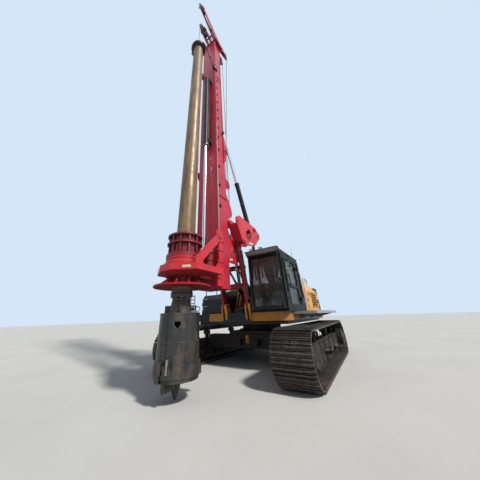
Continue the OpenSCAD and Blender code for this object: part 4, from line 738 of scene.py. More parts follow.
def carriage_side(p, s):
    """One side of the carriage: motor, pins with their keepers, guide bolts, ribs and feet of the stays."""
    x, y, way = DRILL_X - 0.52, s * 0.365, (0, s, 0)
    p.lathe((x, y, 2.4), UP, [(0.142, 0), (0.142, 0.022), (0.122, 0.024)])
    for z in (2.489, 2.609, 2.758):
        p.lathe((x, y, z), UP, [(0.118, 0), (0.126, 0.004), (0.126, 0.024), (0.118, 0.028)], look=RED_SHADED)
    p.bolts_round((x, y, 2.422), UP, 0.13, 10, 0.009, 0.01, ROPE_STEEL)
    p.box(about(x, 0.05), about(y, 0.06), (2.96, 3.02), ROPE_STEEL)
    for port in about(x, 0.03):
        p.rod((port, y + s * 0.075, 2.86), (port, y + s * 0.115, 2.86), 0.022, 12, BRIGHT)
    for x, z, y in ((3.33, 3.32, 0.564), (4.19, 2.495, 0.564), (3.31, 2.26, CHEEK_Y)):
        p.lathe((x, s * y, z), way, [(0.058, 0), (0.058, 0.014), (0.04, 0.02)], 24)
        p.box(about(x, 0.07), span(s, y, y + 0.01), (z - 0.075, z - 0.052), ROPE_STEEL)
    for z in (2.17, 2.28, 2.4, 3.26, 3.37, 3.49):
        for x in (3.03, 3.07):
            p.bolt((x, s * CHEEK_Y, z), way, 0.013, 0.012, ROPE_STEEL)
    for z in (2.62, 2.95, 3.2):
        p.box((3.1, 3.39), span(s, CHEEK_Y, CHEEK_Y + 0.018), (z, z + 0.022))
    foot = [(4.02, 2.4), (4.36, 2.4), (4.3, 2.47), (4.26, 2.53), (4.12, 2.53), (4.06, 2.47)]
    for y in (0.47, 0.566):
        p.prism(foot, *span(s, y, y + 0.022))
    p.prism([(3.1, 2.02), (3.38, 2.02), (3.4, 2.14), (3.09, 2.14)], *span(s, 0.434, CHEEK_Y))
    # stiffener of the rod eye's ear, and the pin's keeper
    p.lathe((3.36, s * 0.11, 3.02), way, [(0.075, 0), (0.075, 0.012), (0.045, 0.02)], 24)
    p.box((3.262, 3.4), span(s, 0.112, 0.128), (2.42, 2.75))


def drive_details():
    p = Piece("drive_fittings", "carriage", RED, bevel=0.004)
    drum_details(p)
    for s in SIDES:
        carriage_side(p, s)
    # blank plate on the slanting front of the housing
    corner, across = Vector((4.66, 0.17, 0)), Vector((-0.32, 0.48, 0))
    c = corner + across * 0.6
    p.box((c.x + 0.001, c.x + 0.004), about(c.y, 0.095), (2.295, 2.348), PLATE,
          rot_z(math.degrees(math.atan2(-across.x, across.y))), c)
    p.make()


def hoses():
    """Four hoses: the loop from the mast's side down to the drive, and their bend over to the mast's back."""
    loop = Piece("drive_hose_loop", None, RUBBER)
    run = Piece("mast_hose_bundle", "mast", RUBBER)
    for i in range(4):
        y = -0.62 - 0.045 * i
        loop.tube([(3.2, y, 6.1), (3.28, y, 5.9), (3.38, y - 0.01, 5.2), (3.43, y - 0.02, 4.4),
                   (3.44, y + 0.03, 3.75), (3.5, y + 0.1, 3.32), (3.6, y + 0.15, 3.12),
                   (3.66, y + 0.2, 3.00), (3.62, -0.36 - 0.02 * i, 2.9)], 0.021, smooth=6)
        run.tube([(3.2, y, 6.1), (3.14, y, 6.3), (3.02, y + 0.005, 6.42), (2.9, y + 0.02, 6.3),
                  (2.84, y + 0.06, 6.05), (2.8, y + 0.1, 5.75), (2.74, -0.42 - 0.04 * i, 5.4),
                  (2.66, -0.38 - 0.04 * i, 5.24), (2.56, -0.2 + 0.05 * i, 5.34)], 0.021, smooth=6)
    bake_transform(loop.make())
    run.box((2.78, 2.85), (-0.72, -0.36), (5.9, 5.95), ROPE_STEEL)
    run.box((2.9, 3.00), (-0.8, -0.36), (6.36, 6.39), RED)
    run.make()


kelly_guide()
kelly_details()
kelly_swivel()
drive_details()
hoses()

# Cab
CAB_SIDE = 1.66                         # outside of its left wall


def cab_guard():
    p = Piece("cab_front_guard", "upper", BLACK, bevel=0.003, replaces=("cab_guard",), slot="black_paint")
    y0, y1, z0, z1, bar = 0.6, 1.62, 1.49, 3.07, 0.036
    for y in (y0, y1 - bar):
        p.box((1.784, 1.82), (y, y + bar), (z0, z1))
        for z in (1.5, 2.27, 2.98):
            p.box((1.7502, 1.784), (y, y + bar), (z, z + 0.04))
            p.bolt((1.82, y + bar / 2, z + 0.02), FRONT, 0.008, 0.006, BRIGHT)
    for z, height in ((z0, bar), (1.93, 0.014), (1.99, 0.014), (z1 - bar, bar)):
        p.box((1.784, 1.816), (y0 + bar, y1 - bar), (z, z + height))
    for k in range(1, 12):
        y = y0 + bar / 2 + (y1 - y0 - bar) * k / 12
        p.rod((1.8, y, 1.99 if k % 3 else z0 + 0.03), (1.8, y, z1 - 0.03), 0.0055, 8)
    p.make()


def cab_roof(p):
    """Roof shell with a drip edge, visor, rails, beacon, work lamps and aerial."""
    p.loft([[(x0, y0, z), (x1, y0, z), (x1, y1, z), (x0, y1, z)] for x0, x1, y0, y1, z in (
        (-0.215, 1.775, 0.545, 1.675, 3.135), (-0.215, 1.8, 0.545, 1.675, 3.165),
        (-0.14, 1.7, 0.61, 1.61, 3.235), (-0.05, 1.62, 0.7, 1.52, 3.245))])
    p.prism([(1.752, 3.085), (1.775, 3.075), (1.905, 3.175), (1.9, 3.2), (1.76, 3.16)], 0.56, 1.66)
    p.tube([(1.905, 0.555, 3.188), (1.905, 1.665, 3.188)], 0.013, BLACK, 0)
    for y in (0.557, 1.645):
        p.prism([(1.7, 3.05), (1.76, 3.02), (1.91, 3.17), (1.9, 3.2), (1.72, 3.15)], y, y + 0.018,
                look=BLACK)
    for x in (0.05, 0.55, 1.05, 1.5):
        p.box((x, x + 0.03), (0.66, 1.56), (3.245, 3.262), BLACK)
    for y in (0.66, 1.53):
        p.box((0.0, 1.6), (y, y + 0.03), (3.262, 3.28), BLACK)
    p.lathe((1.36, 1.5, 3.23), UP, [(0.055, 0), (0.055, 0.03), (0.045, 0.034), (0.047, 0.1), (0.034, 0.125),
                                     (0, 0.13)], 20, AMBER)
    for y in (0.7, 1.02):
        p.box((1.8, 1.85), (y, y + 0.12), (3.205, 3.285), BLACK)
        p.box((1.85, 1.853), (y + 0.012, y + 0.108), (3.217, 3.273), LENS)
    p.rod((-0.05, 1.55, 3.23), (-0.12, 1.58, 3.78), 0.006, 8, BLACK, 0.002)


def cab_fittings():
    p = Piece("cab_roof_and_fittings", "upper", ROOF, bevel=0.004)
    cab_roof(p)
    # dark sealing strips round the side glass and the door, and hand rails
    y, wide = (CAB_SIDE + 0.0002, CAB_SIDE + 0.004), 0.008
    for x0, x1, z0, z1 in ((0.336, 1.414, 1.516, 2.994), (1.44, 1.72, 1.56, 3.05), (-0.17, 0.26, 1.56, 3.05)):
        for x, z in (((x0, x1), (z0 - wide, z0)), ((x0, x1), (z1, z1 + wide)),
                     ((x0 - wide, x0), (z0, z1)), ((x1, x1 + wide), (z0, z1))):
            p.box(x, y, z, RUBBER)
    for x, y, r, heights, look in ((1.62, 1.715, 0.011, (1.75, 1.79, 2.5, 2.54), BLACK),
                                   (0.02, 1.72, 0.012, (1.7, 1.74, 2.62, 2.66), WHITE)):
        p.tube([(x, w, z) for w, z in zip((CAB_SIDE, y, y, CAB_SIDE), heights)], r, look)
    # mirror on its arm, and the wiper
    p.tube([(1.6, 1.665, 3.00), (1.46, 1.78, 2.99), (1.4, 1.8, 2.9)], 0.01, BLACK, 5)
    p.box((1.31, 1.5), (1.785, 1.815), (2.6, 2.91), BLACK, rot_z(24))
    p.box((1.325, 1.485), (1.781, 1.7845), (2.62, 2.89), MIRROR, rot_z(24), (1.405, 1.8, 2.755))
    p.tube([(1.757, 1.5, 3.02), (1.772, 1.44, 2.92), (1.768, 1.22, 2.4)], 0.008, BLACK, 3, 6)
    p.box((1.757, 1.766), (1.1, 1.34), (2.385, 2.395), RUBBER)
    p.make()


def cab_interior():
    p = Piece("cab_interior", "upper", TRIM, bevel=0.006)
    # curtain gathered in folds behind the windscreen, and its rail
    for k in range(12):
        y = 0.655 + 0.078 * k
        swing = (0.05 if k < 6 else -0.05) * (k % 3 - 0.4)
        p.tube([(1.655, y, 3.04), (1.645 + 0.012 * (k % 2), y + 0.01, 2.75),
                (1.66, y + swing, 2.36 - 0.05 * (k % 4))], 0.028 if k % 3 else 0.036, CURTAIN, 4, 6)
    p.box((1.648, 1.664), (0.64, 1.58), (3.02, 3.07))
    # console with its display, arm rests with levers, and pedals with theirs
    p.box((1.4, 1.6), (1.3, 1.44), (1.5, 2.02))
    p.box((1.4, 1.44), (1.28, 1.52), (2.06, 2.24), turn=rot_y(-14))
    p.box((1.392, 1.399), (1.3, 1.5), (2.075, 2.225), BRIGHT, rot_y(-14), (1.42, 1.4, 2.15))
    for y in (0.74, 1.47):
        p.box((0.62, 1.1), about(y, 0.06), (1.95, 2.05))
        p.tube([(1.04, y, 2.05), (1.06, y, 2.17), (1.05, y, 2.22)], 0.012, smooth=3)
        p.lathe((1.05, y, 2.19), (0.1, 0, 1), [(0.012, 0), (0.024, 0.02), (0.026, 0.08), (0.012, 0.11)], 12,
                SEAT)
    for y in (0.98, 1.12):
        p.box((1.48, 1.56), (y, y + 0.09), (1.62, 1.64), BRIGHT, rot_y(30))
        p.rod((1.4, y + 0.045, 1.52), (1.4, y + 0.045, 1.95), 0.01, 8)
    p.box((1.6, 1.66), (0.66, 0.86), (1.6, 1.78), PLATE)
    p.make()


cab_guard()
cab_fittings()
cab_interior()

# Engine house and counterweight
HOUSE_Y = place("engine_house")[1][1]
BACK = place("counterweight")[0][0]


def house_side(p, s):
    """One side of the engine house: doors with hinges and latches, louvres, hand rail and lifting eyes."""
    for x0, x1 in ((-3.1, -2.9), (-1.84, -1.1), (-1.06, -0.32)):
        p.box((x0, x1), span(s, HOUSE_Y, HOUSE_Y + 0.012), (1.46, 2.18))
        p.box((x1 - 0.1, x1 - 0.06), span(s, HOUSE_Y + 0.012, HOUSE_Y + 0.03), (1.76, 1.88), BLACK)
        for z in (1.55, 2.05):
            hinge = (x0 + 0.012, s * (HOUSE_Y + 0.018))
            p.rod((*hinge, z), (*hinge, z + 0.08), 0.012, 8, BLACK)
    for k in range(5):
        z = 1.98 + 0.032 * k
        p.box((-1.7, -1.24), span(s, HOUSE_Y + 0.012, HOUSE_Y + 0.024), (z, z + 0.016))
    for x, z in (((-2.87, -1.88), (1.58, 1.6)), ((-2.87, -1.88), (2.13, 2.15)),
                 ((-2.87, -2.85), (1.6, 2.13)), ((-1.9, -1.88), (1.6, 2.13))):
        p.box(x, span(s, HOUSE_Y, HOUSE_Y + 0.015), z)
    p.tube([(-0.4, s * 1.56, 1.44), (-0.42, s * 1.66, 1.75), (-0.6, s * 1.66, 2.42),
            (-1.3, s * 1.5, 2.66), (-2.2, s * 1.42, 2.68), (-2.32, s * 1.4, 2.49)], 0.024, WHITE, 6, 10)
    for x, y in ((-1.3, 1.5), (-1.9, 1.44)):
        p.rod((x, s * y, 2.655), (x, s * (y - 0.06), 2.4), 0.014, 8, WHITE)
    for x in (-3.00, -0.42):
        p.ring((x, s * 1.2, 2.5), (0, 1, 0), 0.055, 0.028, 0.012, 20, BLACK, -0.012)
        p.box(about(x, 0.06), about(s * 1.2, 0.03), (2.468, 2.482), BLACK)


def house_fittings():
    p = Piece("house_fittings", "upper", YELLOW, bevel=0.004)
    for s in SIDES:
        house_side(p, s)
        for k in range(14):
            p.bolt((-2.72 + 0.125 * k, s * 0.955, 2.47), UP, 0.009, 0.007, BLACK)
    # exhaust foot and clamp, precleaner with its clamp, and the cooler's grille
    p.lathe((-0.95, 1.18, 2.47), UP, [(0.1, 0), (0.1, 0.012), (0.074, 0.016), (0.074, 0.05)], 28, BLACK)
    p.ring((-0.95, 1.18, 2.62), UP, 0.08, 0.0702, 0.03, 28, BRIGHT)
    p.lathe((-0.65, 1.18, 2.8), UP, [(0.1, 0), (0.135, 0.02), (0.15, 0.09), (0.145, 0.16), (0.09, 0.2),
                                      (0, 0.215)], 32, BLACK)
    p.ring((-0.65, 1.18, 2.7), UP, 0.128, 0.1202, 0.025, 32, BRIGHT)
    p.box((-0.258, -0.246), (0.62, 1.5), (1.5, 2.2))
    p.make()


def counterweight_fittings():
    p = Piece("counterweight_fittings", "upper", BLACK, bevel=0.006)
    for z in (1.62, 2.05):
        p.box((BACK - 0.005, BACK), (-1.12, 1.12), (z, z + 0.014))
    for s in SIDES:
        # rear lamp and reflector, lifting eye, side caps and a blank plate
        p.box((BACK - 0.012, BACK), span(s, 0.86, 1.1), (1.36, 1.46), TAIL)
        p.box((BACK - 0.008, BACK), span(s, 0.6, 0.8), (1.36, 1.46), WHITE)
        p.lathe((-3.5, s * 0.95, 2.41), UP, [(0.085, 0), (0.085, 0.02), (0.05, 0.03)], 24)
        p.tube([(-3.5 + x, s * 0.95, z) for x, z in ((-0.06, 2.42), (-0.06, 2.5), (0, 2.54), (0.06, 2.5),
                                                      (0.06, 2.42))], 0.016, BRIGHT, 5, 10)
        for x in (-3.3, -3.55):
            p.lathe((x, s * 1.5, 1.6), (0, s, 0), [(0.06, 0), (0.06, 0.014), (0.035, 0.02)], 24)
        p.box((-3.6, -3.2), span(s, 1.5, 1.504), (1.95, 2.16), PLATE)
    p.make()


house_fittings()
counterweight_fittings()

# Ropes, and the sheaves and drums that they run on
WINCH, AUX = middle("winch_drum"), middle("aux_drum")
TAIL_SHEAVE, HEAD_SHEAVE, JIB_SHEAVE = (middle(n) for n in ("tail_sheave_main", "head_sheave", "jib_sheave"))
ROPE_R = 0.014


def winding(name, body, at, r, half):
    """Turns of rope on a drum, a rope's pitch apart."""
    p = Piece(name, body, ROPE_STEEL)
    pitch, profile = 2 * ROPE_R, []
    for k in range(int(2 * half / pitch)):
        profile += [(r + rise, -half + (k + share) * pitch)
                    for rise, share in ((0, 0), (0.01, 0.2), (0.014, 0.5), (0.01, 0.8))]
    p.lathe(at, (0, 1, 0), [(r - 0.004, -half)] + profile + [(r - 0.004, half)], 48)
    p.make()


def over_sheave(at, r, y, start, end, steps):
    """The rope's points over a sheave, between two angles in radians."""
    angles = (start + (end - start) * k / steps for k in range(steps + 1))
    return [(at[0] + r * math.cos(a), y, at[2] + r * math.sin(a)) for a in angles]


def ropes():
    winding("main_rope_winding", "winch_drum", WINCH, 0.231, 0.235)
    winding("aux_rope_winding", "aux_drum", AUX, 0.121, 0.185)
    p = Piece("mast_ropes", "mast", ROPE_STEEL)
    for drum, drum_r, y0, y1, last, r, between, end in (
            (WINCH, 0.245, 0.1, 0, HEAD_SHEAVE, 0.344, [(3.24, 0, 17.362)], []),
            (AUX, 0.134, 0.12, 0.4, JIB_SHEAVE, 0.274, [], [(4.654, 0.4, 17.5)])):
        slope = math.atan2(last[2] - TAIL_SHEAVE[2], last[0] - TAIL_SHEAVE[0])
        off = math.pi / 2 + slope                   # where the rope leaves the tail and meets the head
        p.tube([(drum[0] - drum_r, y0, drum[2])] + over_sheave(TAIL_SHEAVE, r, y1, math.pi, off, 6) + between
               + over_sheave(last, r, y1, off, 0, 8) + end, ROPE_R, smooth=0)
    # socket and thimble of the auxiliary rope
    p.lathe((4.654, 0.4, 17.3), UP, [(0.012, 0), (0.032, 0.03), (0.036, 0.15), (0.018, 0.22)], 16,
            KELLY_DARK)
    p.ring((4.654, 0.4, 17.26), FRONT, 0.055, 0.03, 0.018, 20, BRIGHT, -0.018)
    p.make()
    drop = Piece("kelly_rope_drop", None, ROPE_STEEL)
    drop.tube([(HEAD_SHEAVE[0] + 0.344, 0, 17.09), (DRILL_X, 0, 14.66)], ROPE_R, smooth=0)
    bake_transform(drop.make())


ropes()

# Mast, head, winches and linkage
MAST_Y = 0.36                                       # half the width of the mast's box
RAIL_Y = place("mast_middle")[1][1]
MAST_JOINTS = [place("mast_middle")[k][2] for k in (0, 1)]
HOLES = [4.57 + 0.86 * k for k in range(4)] + [7.88 + 0.61 * k for k in range(8)]


def cap(p, at, s, r, bolts=6, look=ROPE_STEEL):
    """A pin's cap on a plate whose outside faces along Y, with its bolts."""
    p.lathe(at, (0, s, 0), [(r, 0), (r, 0.01), (r * 0.72, 0.018), (r * 0.7, 0.012), (0, 0.012)], 28)
    p.bolts_round((at[0], at[1] + s * 0.01, at[2]), (0, s, 0), r * 0.86, bolts, 0.008, 0.006, look)


def mast_side(p, s):
    """One side: rail strip, joint flanges, seams, rims of the holes, and the wing with its hose guides."""
    way = (0, s, 0)
    p.box((3.13, 3.192), span(s, RAIL_Y, RAIL_Y + 0.0025), (2.03, 8.6), BRIGHT)
    for k in range(16):
        p.bolt((3.16, s * RAIL_Y, 8.85 + 0.46 * k), way, 0.012, 0.008, ROPE_STEEL)
    for z in MAST_JOINTS:
        for low in (z - 0.034, z + 0.006):
            p.box((2.6, 2.985), span(s, MAST_Y, MAST_Y + 0.024), (low, low + 0.028))
        for k in range(7):
            p.bolt((2.63 + 0.054 * k, s * 0.372, z + 0.034), UP, 0.01, 0.01, ROPE_STEEL)
    for k in range(8):
        z = 5.9 + 1.25 * k
        p.box((2.585, 2.93), span(s, MAST_Y, MAST_Y + 0.0025), (z, z + 0.01))
    for z in HOLES:
        p.ring((2.99, s * MAST_Y, z), way, 0.084, 0.0705, 0.006, 28)
    p.prism([(2.582, 5.35), (2.44, 5.15), (2.27, 4.86), (2.2, 4.62), (2.24, 4.45), (2.36, 4.36),
             (2.582, 4.33)], *span(s, 0.302, 0.3355))
    for k in range(7):
        x, z = 2.31 + 0.034 * k, 4.5 + 0.088 * k
        p.tube([(x - 0.085, s * 0.3325, z + 0.03), (x + 0.085, s * 0.3325, z - 0.03)], 0.009, RUBBER, 0)
    p.box((2.6, 2.66), span(s, MAST_Y + 0.0005, 0.378), (6.95, 7.25))


def winch_side(p, s):
    """Covers, rings and bolt circles on one side of the two winches."""
    def at(winch, y):
        return winch[0], s * y, winch[2]
    way = (0, s, 0)
    p.ring(at(WINCH, 0.33), way, 0.225, 0.15, 0.006, 48, RED)
    p.lathe(at(WINCH, 0.33), way, [(0.16, 0), (0.15, 0.009), (0.125, 0.012), (0.07, 0.012), (0.066, 0.006),
                                    (0, 0.006)], 48, RED)
    p.ring(at(AUX, 0.27), way, 0.12, 0.062, 0.02, 32, RED)
    for winch, y, circle, count, r, h, turn in ((WINCH, 0.336, 0.19, 12, 0.011, 0.006, 0),
                                                (WINCH, 0.33, 0.345, 16, 0.011, 0.008, 0.2),
                                                (AUX, 0.29, 0.098, 8, 0.008, 0.006, 0)):
        p.bolts_round(at(winch, y), way, circle, count, r, h, ROPE_STEEL, turn)


def mast_fittings():
    p = Piece("mast_fittings", "mast", MAST_RED, bevel=0.003)
    for s in SIDES:
        mast_side(p, s)
        winch_side(p, s)
        cap(p, (HEAD_SHEAVE[0], s * 0.165, HEAD_SHEAVE[2]), s, 0.085)
    # lamp cable down the left side with its clips, and the lamp on its bracket
    p.tube([(2.66, 0.368, 16.2), (2.66, 0.368, 13.0), (2.665, 0.368, 9.0), (2.66, 0.368, 7.4)], 0.007,
           RUBBER, 2, 6)
    for k in range(9):
        p.box((2.645, 2.675), (0.3602, 0.377), (7.6 + k, 7.63 + k), ROPE_STEEL)
    p.box((2.7, 2.74), (0.3602, 0.47), (8.3, 8.33), ROPE_STEEL)
    p.box((2.66, 2.78), (0.42, 0.47), (8.33, 8.43), RUBBER)
    # head: other caps, limit switch with its cable, and bolts of the top plate
    cap(p, (TAIL_SHEAVE[0], -0.165, TAIL_SHEAVE[2]), -1, 0.085)
    cap(p, (JIB_SHEAVE[0], 0.505, JIB_SHEAVE[2]), 1, 0.08)
    p.box((2.95, 3.1), (0.38, 0.46), (16.46, 16.58), ROPE_STEEL)
    p.tube([(3.02, 0.42, 16.58), (3.1, 0.3, 16.75), (3.42, 0.15, 17.2)], 0.008, RUBBER, 4, 6)
    for x in (2.62, 2.8, 2.98, 3.16):
        for y in (-0.3, -0.22):
            p.bolt((x, y, 16.46), UP, 0.015, 0.012, ROPE_STEEL)
    # blank plate beside the main winch
    p.box((2.33, 2.5), (0.3302, 0.334), (2.86, 2.92), PLATE, rot_y(10))
    p.make()


def carrier_fittings():
    p = Piece("carrier_fittings", "carrier", RED, bevel=0.004)
    for s in SIDES:
        for x, y, z, r, bolts in ((0.97, 0.7, 4.01, 0.085, 6), (1.23, 0.73, 4.19, 0.066, 6),
                                  (2.08, 0.7155, 3.5, 0.07, 6), (2.44, 0.7, 4.13, 0.06, 4)):
            cap(p, (x, s * y, z), s, r, bolts, BRIGHT)
        p.ring((1.76, s * 0.7, 3.85), (0, s, 0), 0.212, 0.1902, 0.01, 40)
        p.box((1.5, 1.8), span(s, 0.7, 0.703), (3.5, 3.575), PLATE, rot_y(7))
        for k in range(5):
            p.bolt((1.18 + 0.06 * k, s * 0.7, 3.66 - 0.035 * k), (0, s, 0), 0.011, 0.008, ROPE_STEEL)
        p.tube([(1.4, s * 0.63, 3.98), (1.52, s * 0.6, 4.12), (1.9, s * 0.585, 4.22),
                (2.2, s * 0.6, 4.12)], 0.018, RUBBER, 5)
    p.make()


def boom_fittings():
    p = Piece("boom_fittings", "boom", RED_SHADED, bevel=0.003)
    for s in SIDES:
        for k in range(3):
            y, x = s * (0.483 + 0.014 * (k % 2)), 0.05 * k
            p.tube([(1.7 + x, y, 1.78), (1.76 + x, y, 2.2), (1.86 + x, y, 2.75),
                    (1.95 + 0.04 * k, y, 3.24)], 0.017, RUBBER)
        for x, z in ((1.77, 2.1), (1.86, 2.6), (1.94, 3.05)):
            p.box((x - 0.09, x + 0.12), span(s, 0.4602, 0.469), (z, z + 0.05), ROPE_STEEL, rot_y(11))
        cap(p, (1.82, s * 0.4602, 2.75), s, 0.075)
    p.make()


def strap(p, at, axis, r):
    p.lathe(at, axis, [(r, 0), (r + 0.006, 0.002), (r + 0.006, 0.03), (r, 0.032)], 32, ROPE_STEEL, True)


def cylinder_pair(name, body, foot, eye, y, r, length):
    """Gland, clamps, pipe and feed hose of a left and a right cylinder, whose axis runs from foot to eye."""
    p = Piece(name, body, BLACK, bevel=0.002)
    for s in SIDES:
        a, d = Vector((foot[0], s * y, foot[1])), Vector((eye[0] - foot[0], 0, eye[1] - foot[1])).normalized()
        out = Vector((-d.z, 0, d.x)) * (r + 0.018)
        p.lathe(a + d * length, d, [(r + 0.006, -0.02), (r + 0.006, 0.004), (r - 0.012, 0.016),
                                    (r - 0.025, 0.012)], 32, BRIGHT, True)
        pipe = ((0.16, 0.8), (0.22, 1.1), (length - 0.18, 1.1), (length - 0.08, 0.9))
        hose = ((0.16, 0.8), (0.1, 1.5), (0.02, 1.6))
        for route, thick, look, smooth in ((pipe, 0.011, ROPE_STEEL, 3), (hose, 0.016, RUBBER, 4)):
            p.tube([a + d * along + out * off for along, off in route], thick, look, smooth)
        for share in (0.25, 0.55, 0.85):
            clamp = a + d * (length * share)
            strap(p, clamp, d, r)
            p.bolt(clamp + out + d * 0.016, out, 0.01, 0.012, BRIGHT)
    p.make()


def crowd_cylinder():
    p = Piece("crowd_cylinder_fittings", "mast", BLACK, bevel=0.002)
    x = 3.36
    p.lathe((x, 0, 7.3), DOWN, [(0.112, -0.004), (0.112, 0.018), (0.085, 0.03), (0.078, 0.026)], 32,
            BRIGHT, True)
    for s in SIDES:
        p.tube([(x, s * y, z) for y, z in ((0.1, 7.36), (0.135, 7.42), (0.135, 11.95), (0.1, 12.05))],
               0.012, ROPE_STEEL, 2)
    for k in range(6):
        z = 7.9 + 0.72 * k
        strap(p, (x, 0, z), UP, 0.1)
        for s in SIDES:
            p.box(about(x, 0.02), span(s, 0.1, 0.152), (z + 0.005, z + 0.03), ROPE_STEEL)
    p.make()


mast_fittings()
carrier_fittings()
boom_fittings()
cylinder_pair("mast_cylinder_fittings", "mast_barrels", (1.23, 4.19), (2.56, 7.44), 0.5, 0.084, 1.99)
cylinder_pair("luffing_cylinder_fittings", "luff_barrels", (0.45, 1.6), (1.82, 2.75), 0.17, 0.078, 1.15)
crowd_cylinder()


# Bucket
def bucket_fittings():
    p = Piece("bucket_fittings", "kelly_inner", BUCKET, bevel=0.004)
    # tapered sleeve over the kelly box, its rings, wall seam, rims and wear straps
    p.collar(0, [(0.272, 1.43), (0.272, 1.45), (0.254, 1.458), (0.222, 1.6), (0.205, 1.68),
                 (0.178, 1.742)], KELLY_DARK, 40, False)
    p.collar(0.925, [(0.418, 0), (0.4265, 0.004), (0.4265, 0.016), (0.418, 0.02)], KELLY_DARK, 72, False)
    for z, r1, r0, height, n in ((1.5, 0.252, 0.23, 0.022, 40), (1.7, 0.208, 0.186, 0.022, 40),
                                 (1.4, 0.428, 0.4195, 0.034, 72), (0.59, 0.44, 0.4195, 0.018, 72)):
        p.hoop(z, r1, r0, height, n=n)
    for angle in (8, 68, 188, 248):
        p.spoke(angle, (0.416, 0.434), (-0.03, 0.03), (0.62, 1.34))
    # triangular covers at the lower corners of the soil windows, and a bar over each window
    for angle in (40, 160, 280):
        turn = rot_z(angle)
        for s in SIDES:
            corners = [(s * w, z) for w, z in ((0.075, 1.155), (0.075, 1.24), (0.0, 1.155))][::-s]
            p.loft([[Vector((DRILL_X, 0, 0)) + turn @ Vector((r, w, z)) for w, z in corners]
                    for r in (0.421, 0.433)])
        p.spoke(angle, (0.414, 0.43), (-0.075, 0.075), (1.281, 1.296))
    # lifting lug with its row of holes, its foot plate and a shackle ring
    c, turn = Vector((DRILL_X - 0.12, 0.235, 0)), rot_z(40)
    for z in (1.47, 1.545, 1.62, 1.695):
        for y0, y1, z0, z1 in ((-0.055, -0.033, 0, 0.06), (0.033, 0.055, 0, 0.06),
                               (-0.055, 0.055, 0.055, 0.078)):
            p.box(about(c.x, 0.009), (c.y + y0, c.y + y1), (z + z0, z + z1), BRIGHT, turn, c)
    p.box(about(c.x, 0.05), about(c.y, 0.1), (1.43, 1.472), BRIGHT, turn)
    p.ring((c.x - 0.06, c.y + 0.1, 1.5), (1, 1, 0), 0.055, 0.038, 0.008, 24, KELLY_DARK, -0.008)
    # dark box on the rim as the painted shade of a slot, latch with its lever and spring, and hinge straps
    for angle, r, y, z, look in (
            # a dark box painted as the shade inside a slot
            (76, (0.405, 0.4215), (-0.018, 0.018), (1.345, 1.4305), KELLY_DARK),
            (24, (0.452, 0.486), (-0.075, 0.075), (0.415, 0.56), KELLY_DARK),
            (24, (0.44, 0.475), (-0.045, 0.045), (0.56, 0.7), BUCKET),
            (24, (0.474, 0.496), (-0.02, 0.02), (0.47, 0.69), BRIGHT),
            (24, (0.424, 0.452), (-0.06, 0.06), (0.66, 0.7), KELLY_DARK),
            (24, (0.452, 0.508), (-0.058, -0.04), (0.43, 0.6), BUCKET),
            (24, (0.452, 0.508), (0.04, 0.058), (0.43, 0.6), BUCKET)):
        p.spoke(angle, r, y, z, look)
    p.make()


bucket_fittings()

# Deck, tank, walkways and car body
WALK_BACK, WALK_FRONT = place("walkway")[0][0], place("walkway")[1][0]
WALK_TOP = place("walkway")[1][2]
DECK_FRONT = 1.7
TANK_Y = -1.54                                      # outside of the tank box


def tank_fittings(p):
    """Dark boxes as painted shade in the tank's steps with treads on top, doors with latches, filler caps and
    a grab rail.
    """
    for z in (1.56, 1.79):
        # a dark box in each step: painted shade
        p.box((1.305, 1.545), (-1.525, -1.3), (z + 0.006, z + 0.095))
        p.box((1.305, 1.558), (-1.538, -1.29), (z + 0.095, z + 0.116), GREY)
    for x0 in (0.02, 0.66):
        p.box((x0, x0 + 0.6), (TANK_Y - 0.012, TANK_Y), (1.48, 1.98))
        for x in (x0 + 0.06, x0 + 0.5):
            p.box((x, x + 0.04), (TANK_Y - 0.026, TANK_Y - 0.012), (1.7, 1.76), BRIGHT)
    for x in (0.3, 1.05):
        p.lathe((x, -1.05, 2.04), UP, [(0.075, 0), (0.075, 0.03), (0.06, 0.05), (0, 0.055)], 24, ROPE_STEEL)
    p.tube([(x, -1.5, z) for x, z in ((1.36, 2.04), (1.36, 2.42), (1.26, 2.52), (0.2, 2.52), (0.1, 2.42),
                                       (0.1, 2.04))], 0.016, smooth=3)
    p.rod((0.7, -1.5, 2.04), (0.7, -1.5, 2.51), 0.014, 8)


def walkway_grating(p, s):
    """Bearing bars, cross bars and toe plate on one walkway."""
    x0, x1, low = WALK_BACK, (WALK_FRONT if s > 0 else 1.1), WALK_TOP + 0.0002
    for k in range(14):
        y = 1.63 + 0.045 * k
        p.box((x0 + 0.02, x1 - 0.02), span(s, y, y + 0.006), (low, WALK_TOP + 0.012), GREY)
    for k in range(33):
        x = x0 + 0.02 + (x1 - x0 - 0.046) * k / 32
        p.box((x, x + 0.006), span(s, 1.62, 2.23), (low, WALK_TOP + 0.009), GREY)
    p.box((x0, x1), span(s, 2.238, 2.25), (low, WALK_TOP + 0.025), GREY)


def deck_machinery(p):
    """Swing motors, valve bank and its hoses between the boom's ears."""
    for x, y, tall in ((0.78, 0.0, 0.62), (-0.05, 0.42, 1.0), (-0.05, -0.42, 1.0)):
        p.lathe((x, y, 1.42), UP, [(0.17, 0), (0.17, 0.03), (0.13, 0.04), (0.13, 0.22 * tall),
                                   (0.11, 0.24 * tall), (0.11, 0.36 * tall), (0.06, 0.4 * tall),
                                   (0, 0.4 * tall)])
        p.bolts_round((x, y, 1.45), UP, 0.15, 10, 0.012, 0.01, ROPE_STEEL)
    p.box((1.12, 1.46), (-0.085, 0.085), (1.4203, 1.58), ROPE_STEEL)
    for k in range(6):
        y = -0.072 + 0.0288 * k
        p.box((1.14, 1.44), about(y, 0.01), (1.58, 1.64))
        for route in (((1.46, 1, 1.53), (1.56, 1.4, 1.53), (1.62, 2.0, 1.47), (1.66, 2.4, 1.43)),
                      ((1.12, 1, 1.5), (1.04, 1.2, 1.5), (0.98, 1.5, 1.44))):
            p.tube([(x, y * fan, z) for x, fan, z in route], 0.012, RUBBER)


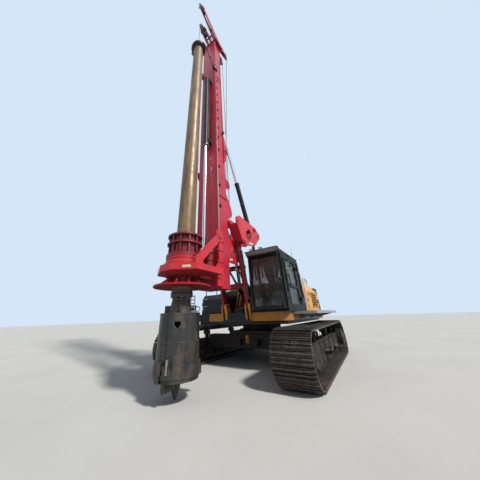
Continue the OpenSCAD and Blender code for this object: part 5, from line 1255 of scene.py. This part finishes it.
def deck_fittings():
    p = Piece("deck_fittings", "upper", BLACK, bevel=0.004)
    tank_fittings(p)
    for s in SIDES:
        walkway_grating(p, s)
    deck_machinery(p)
    # black boxes beneath the deck as painted shade, guard plates on its front, and the seam and bolts of the
    # yellow edge
    for x0, x1, y0, y1 in ((-2.55, 1.64, 0.95, 1.54), (-2.55, 1.64, -1.54, -0.95), (1.3, 1.66, -0.95, 0.95),
                           (-2.6, -2.2, -0.95, 0.95)):
        p.box((x0, x1), (y0, y1), (1.115, 1.1995))
    for y0, y1 in ((-0.5, 0.5), (-1.598, -1.1)):
        p.box((DECK_FRONT + 0.0002, DECK_FRONT + 0.022), (y0, y1), (1.205, 1.415))
    for y0, y1 in ((-1.55, -0.7), (0.7, 1.55)):
        p.box((DECK_FRONT, DECK_FRONT + 0.006), (y0, y1), (1.3, 1.312), YELLOW)
        for k in range(4):
            p.bolt((DECK_FRONT, y0 + 0.12 + 0.2 * k, 1.25), FRONT, 0.012, 0.008, BRIGHT)
    p.make()


def car_body_fittings():
    p = Piece("car_body_fittings", "undercarriage", UNDER_SHADED, bevel=0.004)
    p.bolts_round((0, 0, 0.878), UP, 0.6, 30, 0.014, 0.016, WHEEL)
    # yellow bracket with its hook on the front of the car body
    p.box((0.9802, 0.992), (-0.14, -0.04), (0.57, 0.785), YELLOW)
    p.box((0.992, 1.03), (-0.125, -0.055), (0.72, 0.76), YELLOW)
    p.tube([(x, -0.09, z) for x, z in ((1.01, 0.72), (1.014, 0.66), (1.04, 0.6), (1.075, 0.615),
                                       (1.08, 0.65))], 0.013, YELLOW, 4, 10)
    for y in (-0.125, -0.055):
        p.bolt((0.992, y, 0.6), FRONT, 0.01, 0.008, BRIGHT)
    # hoses of the travel motors
    for s in SIDES:
        for k in range(3):
            p.tube([(-0.35, s * (0.16 + 0.05 * k), 0.895), (-0.62, s * (0.3 + 0.05 * k), 0.91),
                    (-0.8, s * (0.7 + 0.03 * k), 0.9), (-0.92, s * 1.2, 0.86)], 0.019, RUBBER, 5)
    p.make()


deck_fittings()
car_body_fittings()
